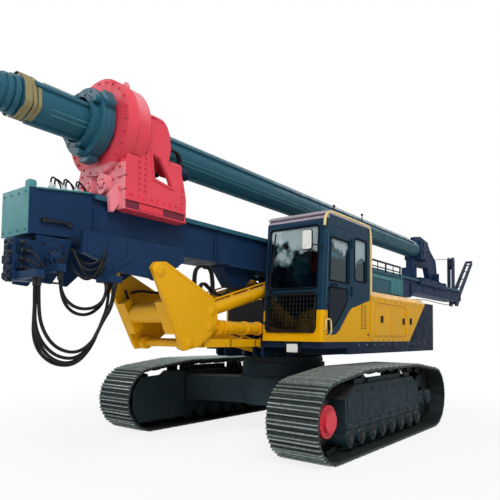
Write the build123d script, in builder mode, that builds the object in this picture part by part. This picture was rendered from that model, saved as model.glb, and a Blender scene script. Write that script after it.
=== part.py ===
from build123d import *
from math import acos, atan2, cos, hypot, pi, radians, sin, tan
import os

# Rotary piling rig, parked with its mast laid back level over the deck.
# Millimetres, +Z up, front toward -Y, cab on +X, the machine's left-hand side.
# The origin is on the ground, under the slewing axis.

# Clearances between pieces
seat_gap = 0.3
panel_gap = 6
pin_play = 1
hinge_radius = 14

# Tracks
track_gauge = 3200
shoe_width = 700
track_length = 4480
track_height = 1100
axle_height = 500
raised_run_half = 900
track_thickness = 110
shoe_count = 52
# share of the pitch, depth below the grouser tips
shoe_profile = [
    (0.075, 60), (0.085, 24), (0.14, 0), (0.21, 24), (0.43, 24),
    (0.50, 0), (0.57, 24), (0.79, 24), (0.86, 0), (0.915, 24), (0.925, 60),
]

# Track frames, with rollers, idlers and final drives
frame_width = 400
frame_bottom = 230
frame_top = 880
roller_radius = 105
roller_count = 8
roller_width = 460
carrier_radius = 70
carrier_share = 0.5
drive_cover_radius = 195
drive_cover_reach = 262
drive_dome_radius = 130
idler_width = 250
yoke_thickness = 45
yoke_height = 200
sprocket_teeth = 21

# Carbody and slewing ring
carbody_bottom = 430
carbody_height = 400
carbody_leg_width = 420
carbody_leg_spread = 760
slew_radius = 640
slew_bore = 430
slew_seat_top = 1080
slew_ring_top = 1180

# Deck and house
deck_width = 2920
deck_bottom = 1250
deck_top = 1430
deck_front = -300
deck_rear = 2670
keel_half_width = 470
keel_front = -840
house_front = 230
house_top = 2215
house_chamfer = 85
house_wall = 40
house_inner = 500
wedge_bottom_y = 1830
wedge_top_y = 2670
wedge_gap = 3
weight_rear = 3110
weight_bulge = 240
weight_top = 2150
hood_top = 2600
hood_half_low = 540
hood_half_high = 1200
hood_front = 790
hood_rear = 2200
rail_radius = 18
rail_height = 190
engine_size = (920, 850, 620)

# Cab
cab_inner = 480
cab_outer = deck_width / 2
cab_front = -1275
cab_rear = 210
cab_rake = 105
cab_floor = 1430
cab_shoulder = 3050
cab_top = 3160
cab_brow = 80
cab_wall = 50
cab_roof_height = 55
glass_thickness = 8
cab_pillar = 90
door_rear = -430
door_sill = 2270
door_gap = 6
seat_setback = 250
seat_back_height = 1000
console_half = 60
console_clearance = 60
pedal_reach = 165

# Linkage pivots, as (y, z)
mast_pivot = (-3190, 2230)
triangle_low = (-2690, 1397)
triangle_high = (-2330, 1600)
cylinder_foot = (-2290, 1795)
deck_low = (-1060, 1397)
deck_high = (deck_low[0] + triangle_high[0] - triangle_low[0],
             deck_low[1] + triangle_high[1] - triangle_low[1])
mast_lug = (-280, 2370)
luff_foot = (-700, 1300)

# Linkage plates and pins
triangle_inner = 405
triangle_thickness = 50
flange_inner = 275
arm_inner = 300
arm_outer = 400
arm_depth = 105
link_pin = 42
eye_radius = 82
tube_radius = 92
mast_pin = 60
mast_pin_eye = 115
slot_half = 135

# Cylinders: barrel radius, bore radius, rod radius, eye radius, eye width
mast_cylinder = (85, 66, 45, 82, 100)
luff_cylinder = (80, 64, 48, 80, 120)
cylinder_x = 320
lug_thickness = 35
lug_gap = 6
mast_raise = 90
luff_raise = 40

# Mast
mast_half_width = 240
mast_wall = 40
mast_bottom = 2475
mast_top = 2962
mast_front = -4640
mast_nose_top = 2880
mast_nose_bottom = 2440
mast_nose_rear = -3960
mast_joint_front = -2000
mast_joint_rear = 5200
mast_rear = 9450
mast_rear_bottom = 2620
rail_width = 50
rail_depth = 60
bracket_inner = 345
bracket_outer = 395
bracket_reach = 710
hose_block_outer = 600
winch_drop = 200
winch_y = 1150
winch_radius = 150
crowd_drop = 230
crowd_y = -4380

# Mast head and sheaves
arm_run = 1920
arm_rise = 1430
sheave_radius = 215
sheave_width = 70
sheave_pin = 35
lower_sheave = (mast_rear + 215, mast_rear_bottom + 80)
upper_sheave = (mast_rear - 120, mast_top + 828)

# Rotary head, sleeve and kelly bar
kelly_axis = 3800
head_front = -3690
head_rear = -2760
head_inner = 380
head_plate = 40
shoe_depth = 120
boss_reach = 80
ring_radius = 540
ring_front = -3740
ring_step = 140
ring_rear = -3000
drum_radius = 525
drum_rear = -3420
body_radius = 370
bearing_radius = 300
sleeve_front = -3930
collar_radius = 290
collar_reach = 80
sleeve_radius = 365
sleeve_bore = 245
motor_radius = 105
motor_place = (285, 3480)
kelly_front = -4650
kelly_rear = 6250
kelly_radius = 205
key_height = 28
key_width = 52
outer_bore = 170
middle_radius = 160
middle_bore = 122
inner_radius = 112
stub_half = 75
stub_front = -5420
guide_front = 5700
guide_rear = 7800

# Hoses
hose_radius = 16

os.makedirs("parts", exist_ok=True)


def save(piece, label):
    """Label one finished piece and write its file."""
    piece.label = label
    export_step(piece, f"parts/{label}.step")


def save_pair(piece, stem):
    """Write a left-hand piece and its mirror image on the right."""
    save(piece, f"{stem}_left")
    save(mirror(piece, about=Plane.YZ), f"{stem}_right")


def plate(outline, low, high, mode=Mode.ADD, inset=0):
    """Plate whose outline lies in the YZ plane, from x low to x high, its edge inset all round."""
    with BuildSketch(Plane.YZ.offset(low)) as face:
        with BuildLine():
            Polyline(*outline, close=True)
        make_face()
        if inset:
            offset(amount=-inset, kind=Kind.INTERSECTION)
    extrude(face.sketch, amount=high - low, mode=mode)


def block(x, y, z, mode=Mode.ADD):
    """Box between the low and high values of x, y and z."""
    centre = tuple((low + high) / 2 for low, high in (x, y, z))
    with Locations(centre):
        Box(x[1] - x[0], y[1] - y[0], z[1] - z[0], mode=mode)


def cross_pin(place, low, high, radius, mode=Mode.ADD):
    """Round bar along X at a (y, z) place, from x low to x high."""
    with Locations(((low + high) / 2, place[0], place[1])):
        Cylinder(radius, high - low, rotation=(0, 90, 0), mode=mode)


def long_bar(x, z, front, rear, radius, mode=Mode.ADD):
    """Round bar along Y at a place (x, z)."""
    with Locations((x, (front + rear) / 2, z)):
        Cylinder(radius, rear - front, rotation=(90, 0, 0), mode=mode)


def rod_between(start, end, radius, mode=Mode.ADD):
    """Round bar from one point to another."""
    run = Vector(*end) - Vector(*start)
    with Locations(Plane(origin=start, z_dir=run)):
        Cylinder(radius, run.length, align=(Align.CENTER, Align.CENTER, Align.MIN), mode=mode)


def ordered(sign, low, high):
    """The low and high x of a stretch, on the side given by sign."""
    return (low, high) if sign > 0 else (-high, -low)


def shifted(place, points):
    """Outline points given from a (y, z) place."""
    return [(place[0] + y, place[1] + z) for y, z in points]


def hinge_knuckles(x, y, heights, reach, on_leaf):
    """Knuckles about a vertical axis: the leaf's own ones, or the frame's above and below them."""
    for height in heights:
        spans = [(height - 30, height + 30)] if on_leaf else [
            (height - 30 - seat_gap - 35, height - 30 - seat_gap), (height + 30 + seat_gap, height + 65 + seat_gap)]
        for low, high in spans:
            with Locations((x, y, (low + high) / 2)):
                Cylinder(hinge_radius, high - low)
            block(ordered(1 if x > 0 else -1, abs(x) - hinge_radius, abs(x) - hinge_radius + 6),
                  (min(y, y + reach), max(y, y + reach)), (low, high))


def distance(a, b):
    """Distance between two (y, z) places."""
    return hypot(b[0] - a[0], b[1] - a[1])


def along(a, b, share):
    """The (y, z) place at a share of the way from a to b."""
    return (a[0] + (b[0] - a[0]) * share, a[1] + (b[1] - a[1]) * share)


# Undercarriage

wheel_place = track_length / 2 - axle_height
wheel_radius = axle_height - track_thickness - seat_gap
frame_half_length = wheel_place - wheel_radius - 70
track_centre = track_gauge / 2


def track_path(inset):
    """Closed path of the track, inset from the grouser tips: two wheels' arcs and a raised top run."""
    radius = axle_height - inset
    raised = track_height - inset
    run = (raised_run_half - wheel_place, raised - axle_height)
    lift = atan2(run[1], run[0]) - acos(radius / hypot(*run))
    rise = (wheel_place + radius * cos(lift), axle_height + radius * sin(lift))
    with BuildLine() as path:
        Line((-wheel_place, inset), (wheel_place, inset))
        ThreePointArc((wheel_place, inset), (wheel_place + radius, axle_height), rise)
        Polyline(rise, (raised_run_half, raised), (-raised_run_half, raised), (-rise[0], rise[1]))
        ThreePointArc((-rise[0], rise[1]), (-wheel_place - radius, axle_height), (-wheel_place, inset))
    return path.wire()


def shoe_points():
    """Outline of the track with every shoe: each one is flat, with three grousers."""
    path = track_path(0)
    points = []
    for number in range(shoe_count):
        start = path.position_at(number / shoe_count)
        chord = path.position_at((number + 1) / shoe_count) - start
        inward = Vector(-chord.Y, chord.X).normalized()
        points += [start + chord * share + inward * depth for share, depth in shoe_profile]
    return [(point.X, point.Y) for point in points]


with BuildPart() as track:
    with BuildSketch(Plane.YZ.offset(track_centre - shoe_width / 2)) as track_face:
        with BuildLine():
            Polyline(*shoe_points(), close=True)
        make_face()
        with BuildSketch(mode=Mode.SUBTRACT):
            with BuildLine():
                add(track_path(track_thickness))
            make_face()
    extrude(amount=shoe_width)
save_pair(track.part, "track")

frame_low = track_centre - frame_width / 2
frame_high = track_centre + frame_width / 2
roller_height = track_thickness + seat_gap + roller_radius
carrier_height = track_height - track_thickness - seat_gap - carrier_radius
with BuildPart() as track_frame:
    plate([(-frame_half_length, frame_bottom), (frame_half_length, frame_bottom),
           (frame_half_length, frame_top - 170), (frame_half_length - 260, frame_top),
           (260 - frame_half_length, frame_top), (-frame_half_length, frame_top - 170)],
          frame_low, frame_high)
    for place in (-0.62, -0.31, 0, 0.31, 0.62):
        block((frame_high - 50, frame_high + 1),
              (place * frame_half_length - 130, place * frame_half_length + 130), (520, 740), mode=Mode.SUBTRACT)
    block((frame_low, frame_high + 20), (-frame_half_length, frame_half_length),
          (frame_bottom + 110, frame_bottom + 150))
    for number in range(roller_count):
        roller_y = (number / (roller_count - 1) - 0.5) * 2 * (frame_half_length - 90)
        cross_pin((roller_y, roller_height), track_centre - roller_width / 2,
                  track_centre + roller_width / 2, roller_radius)
    for sign in (1, -1):
        cross_pin((sign * carrier_share * frame_half_length, carrier_height), frame_low + 60,
                  frame_high - 60, carrier_radius)
    for low in (track_centre - idler_width / 2 - yoke_thickness, track_centre + idler_width / 2):
        block((low, low + yoke_thickness), (frame_half_length - 20, wheel_place + yoke_height / 2),
              (axle_height - yoke_height / 2, axle_height + yoke_height / 2))
    block((frame_low, frame_low + 60), (-wheel_place - 150, 20 - frame_half_length),
          (axle_height - 170, axle_height + 170))
save_pair(track_frame.part, "track_frame")


def sprocket_points():
    """Outline of the driving sprocket with its teeth."""
    points = []
    for number in range(2 * sprocket_teeth):
        reach = wheel_radius - 45 * (number % 2)
        for bias in (-0.25, 0.25):
            turn = pi * (number + bias) / sprocket_teeth
            points.append((reach * cos(turn) - wheel_place, reach * sin(turn) + axle_height))
    return points


with BuildPart() as track_wheels:
    cross_pin((wheel_place, axle_height), track_centre - idler_width / 2, track_centre + idler_width / 2,
              150)
    cross_pin((wheel_place, axle_height), track_centre - 75, track_centre + 75, wheel_radius)
    cross_pin((-wheel_place, axle_height), frame_low + 60, track_centre + 100, 240)
    with BuildSketch(Plane.YZ.offset(track_centre - 45)) as sprocket_face:
        with BuildLine():
            Polyline(*sprocket_points(), close=True)
        make_face()
    extrude(amount=90)
save_pair(track_wheels.part, "track_wheels")

with BuildPart() as final_drive:
    cross_pin((-wheel_place, axle_height), track_centre + 100, track_centre + drive_cover_reach - 45,
              drive_cover_radius)
    cross_pin((-wheel_place, axle_height), track_centre + 100, track_centre + drive_cover_reach,
              drive_dome_radius)
    with Locations(Plane(origin=(track_centre + drive_cover_reach - 45, -wheel_place, axle_height),
                         z_dir=(1, 0, 0))):
        with PolarLocations(drive_cover_radius - 30, 12):
            Cylinder(13, 24)
save_pair(final_drive.part, "final_drive")

with BuildPart() as carbody:
    with BuildSketch(Plane.XY.offset(carbody_bottom)):
        Circle(slew_radius + 120)
        for across in (1, -1):
            for lengthwise in (1, -1):
                with BuildLine():
                    Polyline((0, lengthwise * 60), (across * 300, lengthwise * 60),
                             (across * frame_low, lengthwise * (carbody_leg_spread - carbody_leg_width / 2)),
                             (across * frame_low, lengthwise * (carbody_leg_spread + carbody_leg_width / 2)),
                             (across * 200, lengthwise * 640), (0, lengthwise * 640), close=True)
                make_face()
    extrude(amount=carbody_height)
    with BuildSketch(Plane.XY.offset(carbody_bottom + carbody_height)):
        Circle(slew_radius + 40)
    extrude(amount=slew_seat_top - carbody_bottom - carbody_height)
    with Locations((0, 0, slew_seat_top)):
        Hole(slew_bore, slew_seat_top)
save(carbody.part, "carbody")

# Upper structure

with BuildPart() as slew_ring:
    with BuildSketch(Plane.XY.offset(slew_seat_top + seat_gap)):
        Circle(slew_radius)
        Circle(slew_bore, mode=Mode.SUBTRACT)
    extrude(amount=slew_ring_top - slew_seat_top - seat_gap)
save(slew_ring.part, "slew_ring")

bracket_outline = [
    (deck_low[0] - 125, slew_ring_top + 40), (deck_low[0] - 125, deck_low[1] + 95),
    (deck_low[0] + 70, deck_low[1] + 105),
    (deck_high[0] - 130, deck_high[1] + 110), (deck_high[0] + 120, deck_high[1] + 110),
    (deck_high[0] + 330, deck_top), (deck_high[0] + 330, slew_ring_top), (deck_low[0] - 60, slew_ring_top),
]
plate_pairs = ((arm_inner - 50, arm_inner - 5), (triangle_inner, triangle_inner + triangle_thickness))
with BuildPart() as deck:
    block((-deck_width / 2, deck_width / 2), (deck_front, deck_rear), (deck_bottom, deck_top))
    block((-keel_half_width, keel_half_width), (keel_front, deck_rear), (slew_ring_top, deck_top))
    block((cab_inner, cab_outer), (cab_front + 40, deck_front), (deck_top - 90, deck_top))
    block((keel_half_width, cab_outer), (-560, deck_front), (deck_bottom, deck_top - 90))
    for sign in (1, -1):
        block(ordered(sign, arm_inner - 5, triangle_inner), (keel_front - 1, deck_high[0] + 160),
              (slew_ring_top - 1, deck_top + 1), mode=Mode.SUBTRACT)
        for low, high in plate_pairs:
            plate(bracket_outline, *ordered(sign, low, high))
        for place in (deck_low, deck_high):
            cross_pin(place, *ordered(sign, arm_inner - 50, triangle_inner + triangle_thickness), link_pin)
    block((-slot_half, slot_half), (keel_front - 1, luff_foot[0] + 140), (slew_ring_top - 1, deck_top + 1),
          mode=Mode.SUBTRACT)
    cross_pin(luff_foot, -slot_half - 20, slot_half + 20, link_pin)
save(deck.part, "deck")

with BuildPart() as counterweight:
    with BuildSketch(Plane.XY.offset(deck_bottom)):
        with BuildLine():
            Line((-deck_width / 2, deck_rear + 5), (deck_width / 2, deck_rear + 5))
            Line((deck_width / 2, deck_rear + 5), (deck_width / 2, weight_rear))
            ThreePointArc((deck_width / 2, weight_rear), (0, weight_rear + weight_bulge),
                          (-deck_width / 2, weight_rear))
            Line((-deck_width / 2, weight_rear), (-deck_width / 2, deck_rear + 5))
        make_face()
    extrude(amount=weight_top - deck_bottom)
    for sign in (1, -1):
        plate([(wedge_bottom_y, deck_top), (deck_rear + 5, deck_top), (deck_rear + 5, weight_top),
               (wedge_top_y, weight_top)],
              *ordered(sign, deck_width / 2 - 310, deck_width / 2))
save(counterweight.part, "counterweight")


def slant_at(height):
    """Edge of the counterweight's slanted wedge at a height."""
    return wedge_bottom_y + (height - deck_top) * (wedge_top_y - wedge_bottom_y) / (weight_top - deck_top)


house_side_top = house_top - house_chamfer
ceiling = house_side_top - house_wall
house_outline = [(house_front, deck_top), (slant_at(deck_top) - wedge_gap, deck_top),
                 (slant_at(house_side_top) - wedge_gap, house_side_top),
                 (slant_at(house_side_top) - wedge_gap, house_top), (house_front, house_top)]
house_inside = [(house_front + house_wall, deck_top), (slant_at(deck_top) - 1.5 * house_wall, deck_top),
                (slant_at(ceiling) - 1.5 * house_wall, ceiling), (house_front + house_wall, ceiling)]
door_span = (house_front + 120, wedge_bottom_y - 160)
door_heights = (deck_top + 70, house_side_top - 90)
door_hinges = (door_heights[0] + 110, door_heights[1] - 110)
with BuildPart() as house:
    plate(house_outline, house_inner, deck_width / 2)
    edge = house.edges().filter_by(Axis.Y).sort_by(lambda found: found.center().X + found.center().Z)[-1]
    chamfer(edge, house_chamfer)
    plate(house_inside, house_inner, deck_width / 2 - house_wall, mode=Mode.SUBTRACT)
    block((deck_width / 2 - house_wall, deck_width / 2), door_span, door_heights, mode=Mode.SUBTRACT)
    hinge_knuckles(deck_width / 2 + hinge_radius, door_span[1], door_hinges, 50, False)
save_pair(house.part, "house")

with BuildPart() as service_door:
    block((deck_width / 2 - house_wall + 5, deck_width / 2),
          (door_span[0] + panel_gap, door_span[1] - panel_gap), (door_heights[0] + panel_gap, door_heights[1] - panel_gap))
    hinge_knuckles(deck_width / 2 + hinge_radius, door_span[1], door_hinges, -50, True)
save_pair(service_door.part, "service_door")

with BuildPart() as hood:
    block((hood_half_low, hood_half_high), (hood_front, hood_rear), (house_top, hood_top))
    for number in range(6):
        rib_y = hood_rear - 90 - 70 * number
        block((hood_half_high, hood_half_high + 14), (rib_y - 12, rib_y + 12),
              (house_top + 50, hood_top - 50))
    block((hood_half_low - 15, hood_half_high + 15), (hood_front - 15, hood_rear + 15),
          (hood_top, hood_top + 22))
save_pair(hood.part, "hood")

engine_front = deck_rear - 120 - engine_size[1]
with BuildPart() as engine:
    block((-engine_size[0] / 2, engine_size[0] / 2), (engine_front, engine_front + engine_size[1]),
          (deck_top, deck_top + engine_size[2]))
save(engine.part, "engine")

with BuildPart() as handrail:
    rail_x = hood_half_high - 40
    rail_base = hood_top + 22
    for y in (hood_front + 40, (hood_front + hood_rear) / 2, hood_rear - 40):
        rod_between((rail_x, y, rail_base), (rail_x, y, rail_base + rail_height), rail_radius - 3)
    rod_between((rail_x, hood_front + 22, rail_base + rail_height),
                (rail_x, hood_rear - 22, rail_base + rail_height),
                rail_radius)
save_pair(handrail.part, "handrail")

# Cab


def cab_front_at(height):
    """Front of the raked cab at a height."""
    return cab_front + cab_rake * (height - cab_floor) / (cab_shoulder - cab_floor)


def cab_outline(inset):
    """Side outline of the cab, inset all round, with its brow sloping back to the roof."""
    return [(cab_front_at(cab_floor) + inset, cab_floor + inset), (cab_rear - inset, cab_floor + inset),
            (cab_rear - inset, cab_top - inset), (cab_front_at(cab_shoulder) + cab_brow + inset,
                                                  cab_top - inset),
            (cab_front_at(cab_shoulder) + inset, cab_shoulder - inset)]


sill = cab_floor + 95
bar_height = 2115
door_top = cab_shoulder - 40
window_top = door_top - 170
rear_pane = (door_sill + 60, cab_shoulder - 120)
door_outline = [
    (cab_front_at(sill) + cab_pillar, sill), (door_rear - 490, sill), (door_rear - 290, sill + 90),
    (door_rear - 170, sill + 220), (door_rear, sill + 370), (door_rear, door_top),
    (cab_front_at(door_top) + cab_pillar, door_top),
]
door_window = [
    (cab_front_at(door_sill) + cab_pillar + 60, door_sill),
    (cab_front_at(window_top) + cab_pillar + 60, window_top),
    (door_rear - cab_pillar, window_top), (door_rear - cab_pillar, door_sill),
]
quarter_window = [(door_rear + 110, rear_pane[0]), (door_rear + 110, rear_pane[1]),
                  (cab_rear - 160, rear_pane[1]), (cab_rear - 160, rear_pane[0])]
right_window = [(cab_front + 230, bar_height - 180), (cab_front + 330, rear_pane[1]),
                (cab_rear - 150, rear_pane[1]), (cab_rear - 150, bar_height - 180)]
front_low = (cab_floor + 140, bar_height - 45)
front_high = (bar_height + 45, cab_shoulder - 60)
glass_reach = (cab_inner + 90, cab_outer - 120)
cab_hinges = (2150, 2850)
with BuildPart() as cab_frame:
    plate(cab_outline(0), cab_inner, cab_outer)
    pillars = cab_frame.edges().filter_by(lambda found: abs((found @ 1).Z - (found @ 0).Z) > 1000)
    fillet(pillars, 40)
    plate(cab_outline(cab_wall), cab_inner + cab_wall, cab_outer - cab_wall, mode=Mode.SUBTRACT)
    plate(door_outline, cab_outer - cab_wall, cab_outer, mode=Mode.SUBTRACT)
    plate(quarter_window, cab_outer - cab_wall, cab_outer, mode=Mode.SUBTRACT)
    plate(right_window, cab_inner, cab_inner + cab_wall, mode=Mode.SUBTRACT)
    for heights in (front_low, front_high):
        block(glass_reach, (cab_front - 10, cab_front_at(heights[1]) + cab_wall + 10), heights,
              mode=Mode.SUBTRACT)
    block(glass_reach, (cab_rear - cab_wall, cab_rear), rear_pane, mode=Mode.SUBTRACT)
    hinge_knuckles(cab_outer + hinge_radius, door_rear, cab_hinges, 50, False)
save(cab_frame.part, "cab_frame")

with BuildPart() as cab_roof:
    brow = cab_front_at(cab_shoulder) + cab_brow
    plate([(brow - 40, cab_top + seat_gap), (cab_rear, cab_top + seat_gap),
           (cab_rear, cab_top + cab_roof_height - 20),
           (cab_rear - 60, cab_top + cab_roof_height), (brow + 30, cab_top + cab_roof_height), (brow - 40, cab_top + 20)],
          cab_inner, cab_outer)
save(cab_roof.part, "cab_roof")

with BuildPart() as cab_glass:
    for low, high in (front_low, front_high):
        plate([(cab_front_at(low) + 15, low), (cab_front_at(low) + 15 + glass_thickness, low),
               (cab_front_at(high) + 15 + glass_thickness, high), (cab_front_at(high) + 15, high)], *glass_reach)
    plate(quarter_window, cab_outer - 30, cab_outer - 30 + glass_thickness)
    plate(right_window, cab_inner + 20, cab_inner + 20 + glass_thickness)
    block(glass_reach, (cab_rear - 30, cab_rear - 30 + glass_thickness), rear_pane)
save(cab_glass.part, "cab_glass")

with BuildPart() as cab_seat:
    seat_x = (cab_inner + cab_outer) / 2
    seat_base = cab_floor + cab_wall
    seat_rear = cab_rear - seat_setback
    pedals = cab_front + pedal_reach
    cab_half_inside = (cab_outer - cab_inner) / 2 - cab_wall
    block((seat_x - 200, seat_x + 200), (seat_rear - 480, seat_rear - 80), (seat_base, seat_base + 280))
    block((seat_x - 250, seat_x + 250), (seat_rear - 580, seat_rear - 80),
          (seat_base + 280, seat_base + 400))
    block((seat_x - 240, seat_x + 240), (seat_rear - 110, seat_rear),
          (seat_base + 400, seat_base + seat_back_height))
    for sign in (1, -1):
        console_x = seat_x + sign * (cab_half_inside - console_clearance - console_half)
        block((console_x - console_half, console_x + console_half), (seat_rear - 580, seat_rear - 120),
              (seat_base, seat_base + 510))
    block((seat_x - 150, seat_x + 150), (pedals, pedals + 130), (seat_base, seat_base + 370))
save(cab_seat.part, "cab_seat")

with BuildPart() as cab_door:
    plate(door_outline, cab_outer - cab_wall, cab_outer, inset=door_gap)
    plate(door_window, cab_outer - cab_wall, cab_outer, mode=Mode.SUBTRACT)
    hinge_knuckles(cab_outer + hinge_radius, door_rear, cab_hinges, -60, True)
save(cab_door.part, "cab_door")

with BuildPart() as cab_door_glass:
    plate(door_window, cab_outer - 30, cab_outer - 30 + glass_thickness)
save(cab_door_glass.part, "cab_door_glass")

# Linkage

with BuildPart() as lower_link:
    for sign in (1, -1):
        low, high = ordered(sign, arm_inner, arm_outer)
        plate([(triangle_low[0], triangle_low[1] - arm_depth / 2),
               (deck_low[0], deck_low[1] - arm_depth / 2),
               (deck_low[0], deck_low[1] + arm_depth / 2), (triangle_low[0], triangle_low[1] + arm_depth / 2)], low, high)
        for place in (triangle_low, deck_low):
            cross_pin(place, low, high, eye_radius)
            cross_pin(place, low, high, link_pin + pin_play, mode=Mode.SUBTRACT)
    cross_pin(along(triangle_low, deck_low, 0.12), -arm_inner, arm_inner, arm_depth / 2)
save(lower_link.part, "lower_link")

with BuildPart() as upper_link:
    for sign in (1, -1):
        low, high = ordered(sign, arm_inner, arm_outer)
        middle = (arm_inner + arm_outer) / 2 * sign
        rod_between((middle, *along(triangle_high, deck_high, 0.03)),
                    (middle, *along(triangle_high, deck_high, 0.9)),
                    tube_radius - 42)
        rod_between((middle, *along(triangle_high, deck_high, 0.24)),
                    (middle, *along(triangle_high, deck_high, 0.75)),
                    tube_radius - 6)
        rod_between((middle, *along(triangle_high, deck_high, 0.27)),
                    (middle, *along(triangle_high, deck_high, 0.32)),
                    tube_radius)
        plate([(deck_high[0] - 310, deck_high[1] - 55), (deck_high[0], deck_high[1] - 55),
               (deck_high[0], deck_high[1] + 55), (deck_high[0] - 310, deck_high[1] + 55)], low, high)
        for place in (triangle_high, deck_high):
            cross_pin(place, low, high, eye_radius - 8)
            cross_pin(place, low, high, link_pin + pin_play, mode=Mode.SUBTRACT)
save(upper_link.part, "upper_link")

triangle_outline = [
    *shifted(mast_pivot, [(-113, 24), (-59, 90), (99, 109)]),
    *shifted(cylinder_foot, [(0, 198), (85, 60)]),
    *shifted(triangle_high, [(149, 75), (40, -90)]),
    *shifted(triangle_low, [(167, -41), (-85, -88), (-139, -13)]),
]
flange_high = along(mast_pivot, triangle_low, 0.36)
flange_low = along(mast_pivot, triangle_low, 0.8)
with BuildPart() as triangle:
    for sign in (1, -1):
        low, high = ordered(sign, triangle_inner, triangle_inner + triangle_thickness)
        plate(triangle_outline, low, high)
        plate([*shifted(flange_high, [(-85, -60)]), *shifted(flange_low, [(-125, -60), (20, 20)]),
               *shifted(flange_high, [(20, 20)])],
              *ordered(sign, flange_inner, triangle_inner))
        cross_pin(mast_pivot, *ordered(sign, bracket_inner - 20, triangle_inner + triangle_thickness + 12),
                  mast_pin)
        for place, radius in ((triangle_low, link_pin), (triangle_high, link_pin), (cylinder_foot, 38)):
            inner = cylinder_x - mast_cylinder[4] / 2 - 25 if place == cylinder_foot else arm_inner - 5
            cross_pin(place, *ordered(sign, inner, triangle_inner + triangle_thickness + 12), radius)
    cross_pin(along(mast_pivot, triangle_low, 0.56), -triangle_inner, triangle_inner, 120)
    cross_pin(triangle_low, -arm_inner, arm_inner, link_pin)
save(triangle.part, "triangle")

# Cylinders: each barrel is hinged at its foot, each rod carries a piston


def cylinder_plane(foot, eye, x):
    """Plane at a cylinder's foot, with its normal toward the rod's eye."""
    return Plane(origin=(x, *foot), x_dir=(1, 0, 0), z_dir=(0, eye[0] - foot[0], eye[1] - foot[1]))


def barrel(foot, eye, x, sizes, foot_pin):
    """Closed barrel with its foot eye, as long as the closed cylinder leaves room for."""
    outer, bore, rod, eye_r, width = sizes
    length = distance(foot, eye) - eye_r - 70
    with BuildPart(cylinder_plane(foot, eye, x)) as made:
        with Locations((0, 0, eye_r + 20)):
            Cylinder(outer, length - eye_r - 20, align=(Align.CENTER, Align.CENTER, Align.MIN))
        Box(width, 1.5 * eye_r, eye_r + 20, align=(Align.CENTER, Align.CENTER, Align.MIN))
        Cylinder(eye_r, width, rotation=(0, 90, 0))
        with Locations((0, 0, eye_r + 40)):
            Cylinder(bore, length - eye_r - 110, align=(Align.CENTER, Align.CENTER, Align.MIN),
                     mode=Mode.SUBTRACT)
        with Locations((0, 0, length)):
            Cylinder(rod + seat_gap, 400, mode=Mode.SUBTRACT)
        Cylinder(foot_pin + pin_play, width + 10, rotation=(0, 90, 0), mode=Mode.SUBTRACT)
    return made.part


def piston_rod(foot, eye, x, sizes, eye_pin, stroke):
    """Rod with its piston and an eye that has its own pin, the piston as deep as the stroke needs."""
    outer, bore, rod, eye_r, width = sizes
    whole = distance(foot, eye)
    piston = whole - eye_r - 70 - 120 - stroke - 40
    with BuildPart(cylinder_plane(foot, eye, x)) as made:
        with Locations((0, 0, piston)):
            Cylinder(rod, whole - piston, align=(Align.CENTER, Align.CENTER, Align.MIN))
            Cylinder(bore - seat_gap, 60, align=(Align.CENTER, Align.CENTER, Align.MIN))
        with Locations((0, 0, whole)):
            Cylinder(eye_r, width - 12, rotation=(0, 90, 0))
            Cylinder(eye_pin, width, rotation=(0, 90, 0))
    return made.part


def turned(place, pivot, angle):
    """A (y, z) place turned about a pivot, +Y toward +Z, by an angle in degrees."""
    c, s = cos(radians(angle)), sin(radians(angle))
    y, z = place[0] - pivot[0], place[1] - pivot[1]
    return (pivot[0] + c * y - s * z, pivot[1] + s * y + c * z)


mast_stroke = distance(cylinder_foot, turned(mast_lug, mast_pivot, mast_raise)) - distance(cylinder_foot,
                                                                                           mast_lug)
luff_stroke = distance(luff_foot, turned(triangle_high, deck_high, -luff_raise)) - distance(luff_foot,
                                                                                            triangle_high)
save_pair(barrel(cylinder_foot, mast_lug, cylinder_x, mast_cylinder, 38), "mast_barrel")
save_pair(piston_rod(cylinder_foot, mast_lug, cylinder_x, mast_cylinder, 38, mast_stroke), "mast_rod")
save(barrel(luff_foot, triangle_high, 0, luff_cylinder, link_pin), "luff_barrel")
save(piston_rod(luff_foot, triangle_high, 0, luff_cylinder, link_pin, luff_stroke), "luff_rod")

# Mast


def mast_box(front, rear, front_bottom, bottom, front_top, taper_rear, rails_from):
    """One length of the mast's box girder with the rails at its top edges and a taper at its front."""
    outline = [(front, front_bottom), (taper_rear, bottom), (rear, bottom), (rear, mast_top),
               (taper_rear, mast_top), (front, front_top)]
    inside = [(front + mast_wall, front_bottom + mast_wall), (taper_rear, bottom + mast_wall),
              (rear - mast_wall, bottom + mast_wall),
              (rear - mast_wall, mast_top - mast_wall), (taper_rear, mast_top - mast_wall), (front + mast_wall, front_top - mast_wall)]
    with BuildPart() as made:
        plate(outline, -mast_half_width, mast_half_width)
        plate(inside, mast_wall - mast_half_width, mast_half_width - mast_wall, mode=Mode.SUBTRACT)
        for sign in (1, -1):
            block(ordered(sign, mast_half_width, mast_half_width + rail_width), (rails_from, rear),
                  (mast_top - rail_depth, mast_top))
            for place in (rails_from + 20, rear - 45):
                block(ordered(sign, mast_half_width, mast_half_width + 22), (place, place + 25),
                      (bottom + 30, mast_top - rail_depth - 80))
    return made.part


save(mast_box(mast_front, mast_joint_front, mast_nose_bottom, mast_bottom, mast_nose_top, mast_nose_rear,
              mast_nose_rear), "mast_front")
save(mast_box(mast_joint_front, mast_joint_rear, mast_bottom, mast_bottom, mast_top,
              mast_joint_front + 200, mast_joint_front), "mast_middle")
save(mast_box(mast_joint_rear, mast_rear, mast_bottom, mast_rear_bottom, mast_top, mast_joint_rear + 300,
              mast_joint_rear), "mast_rear")

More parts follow.
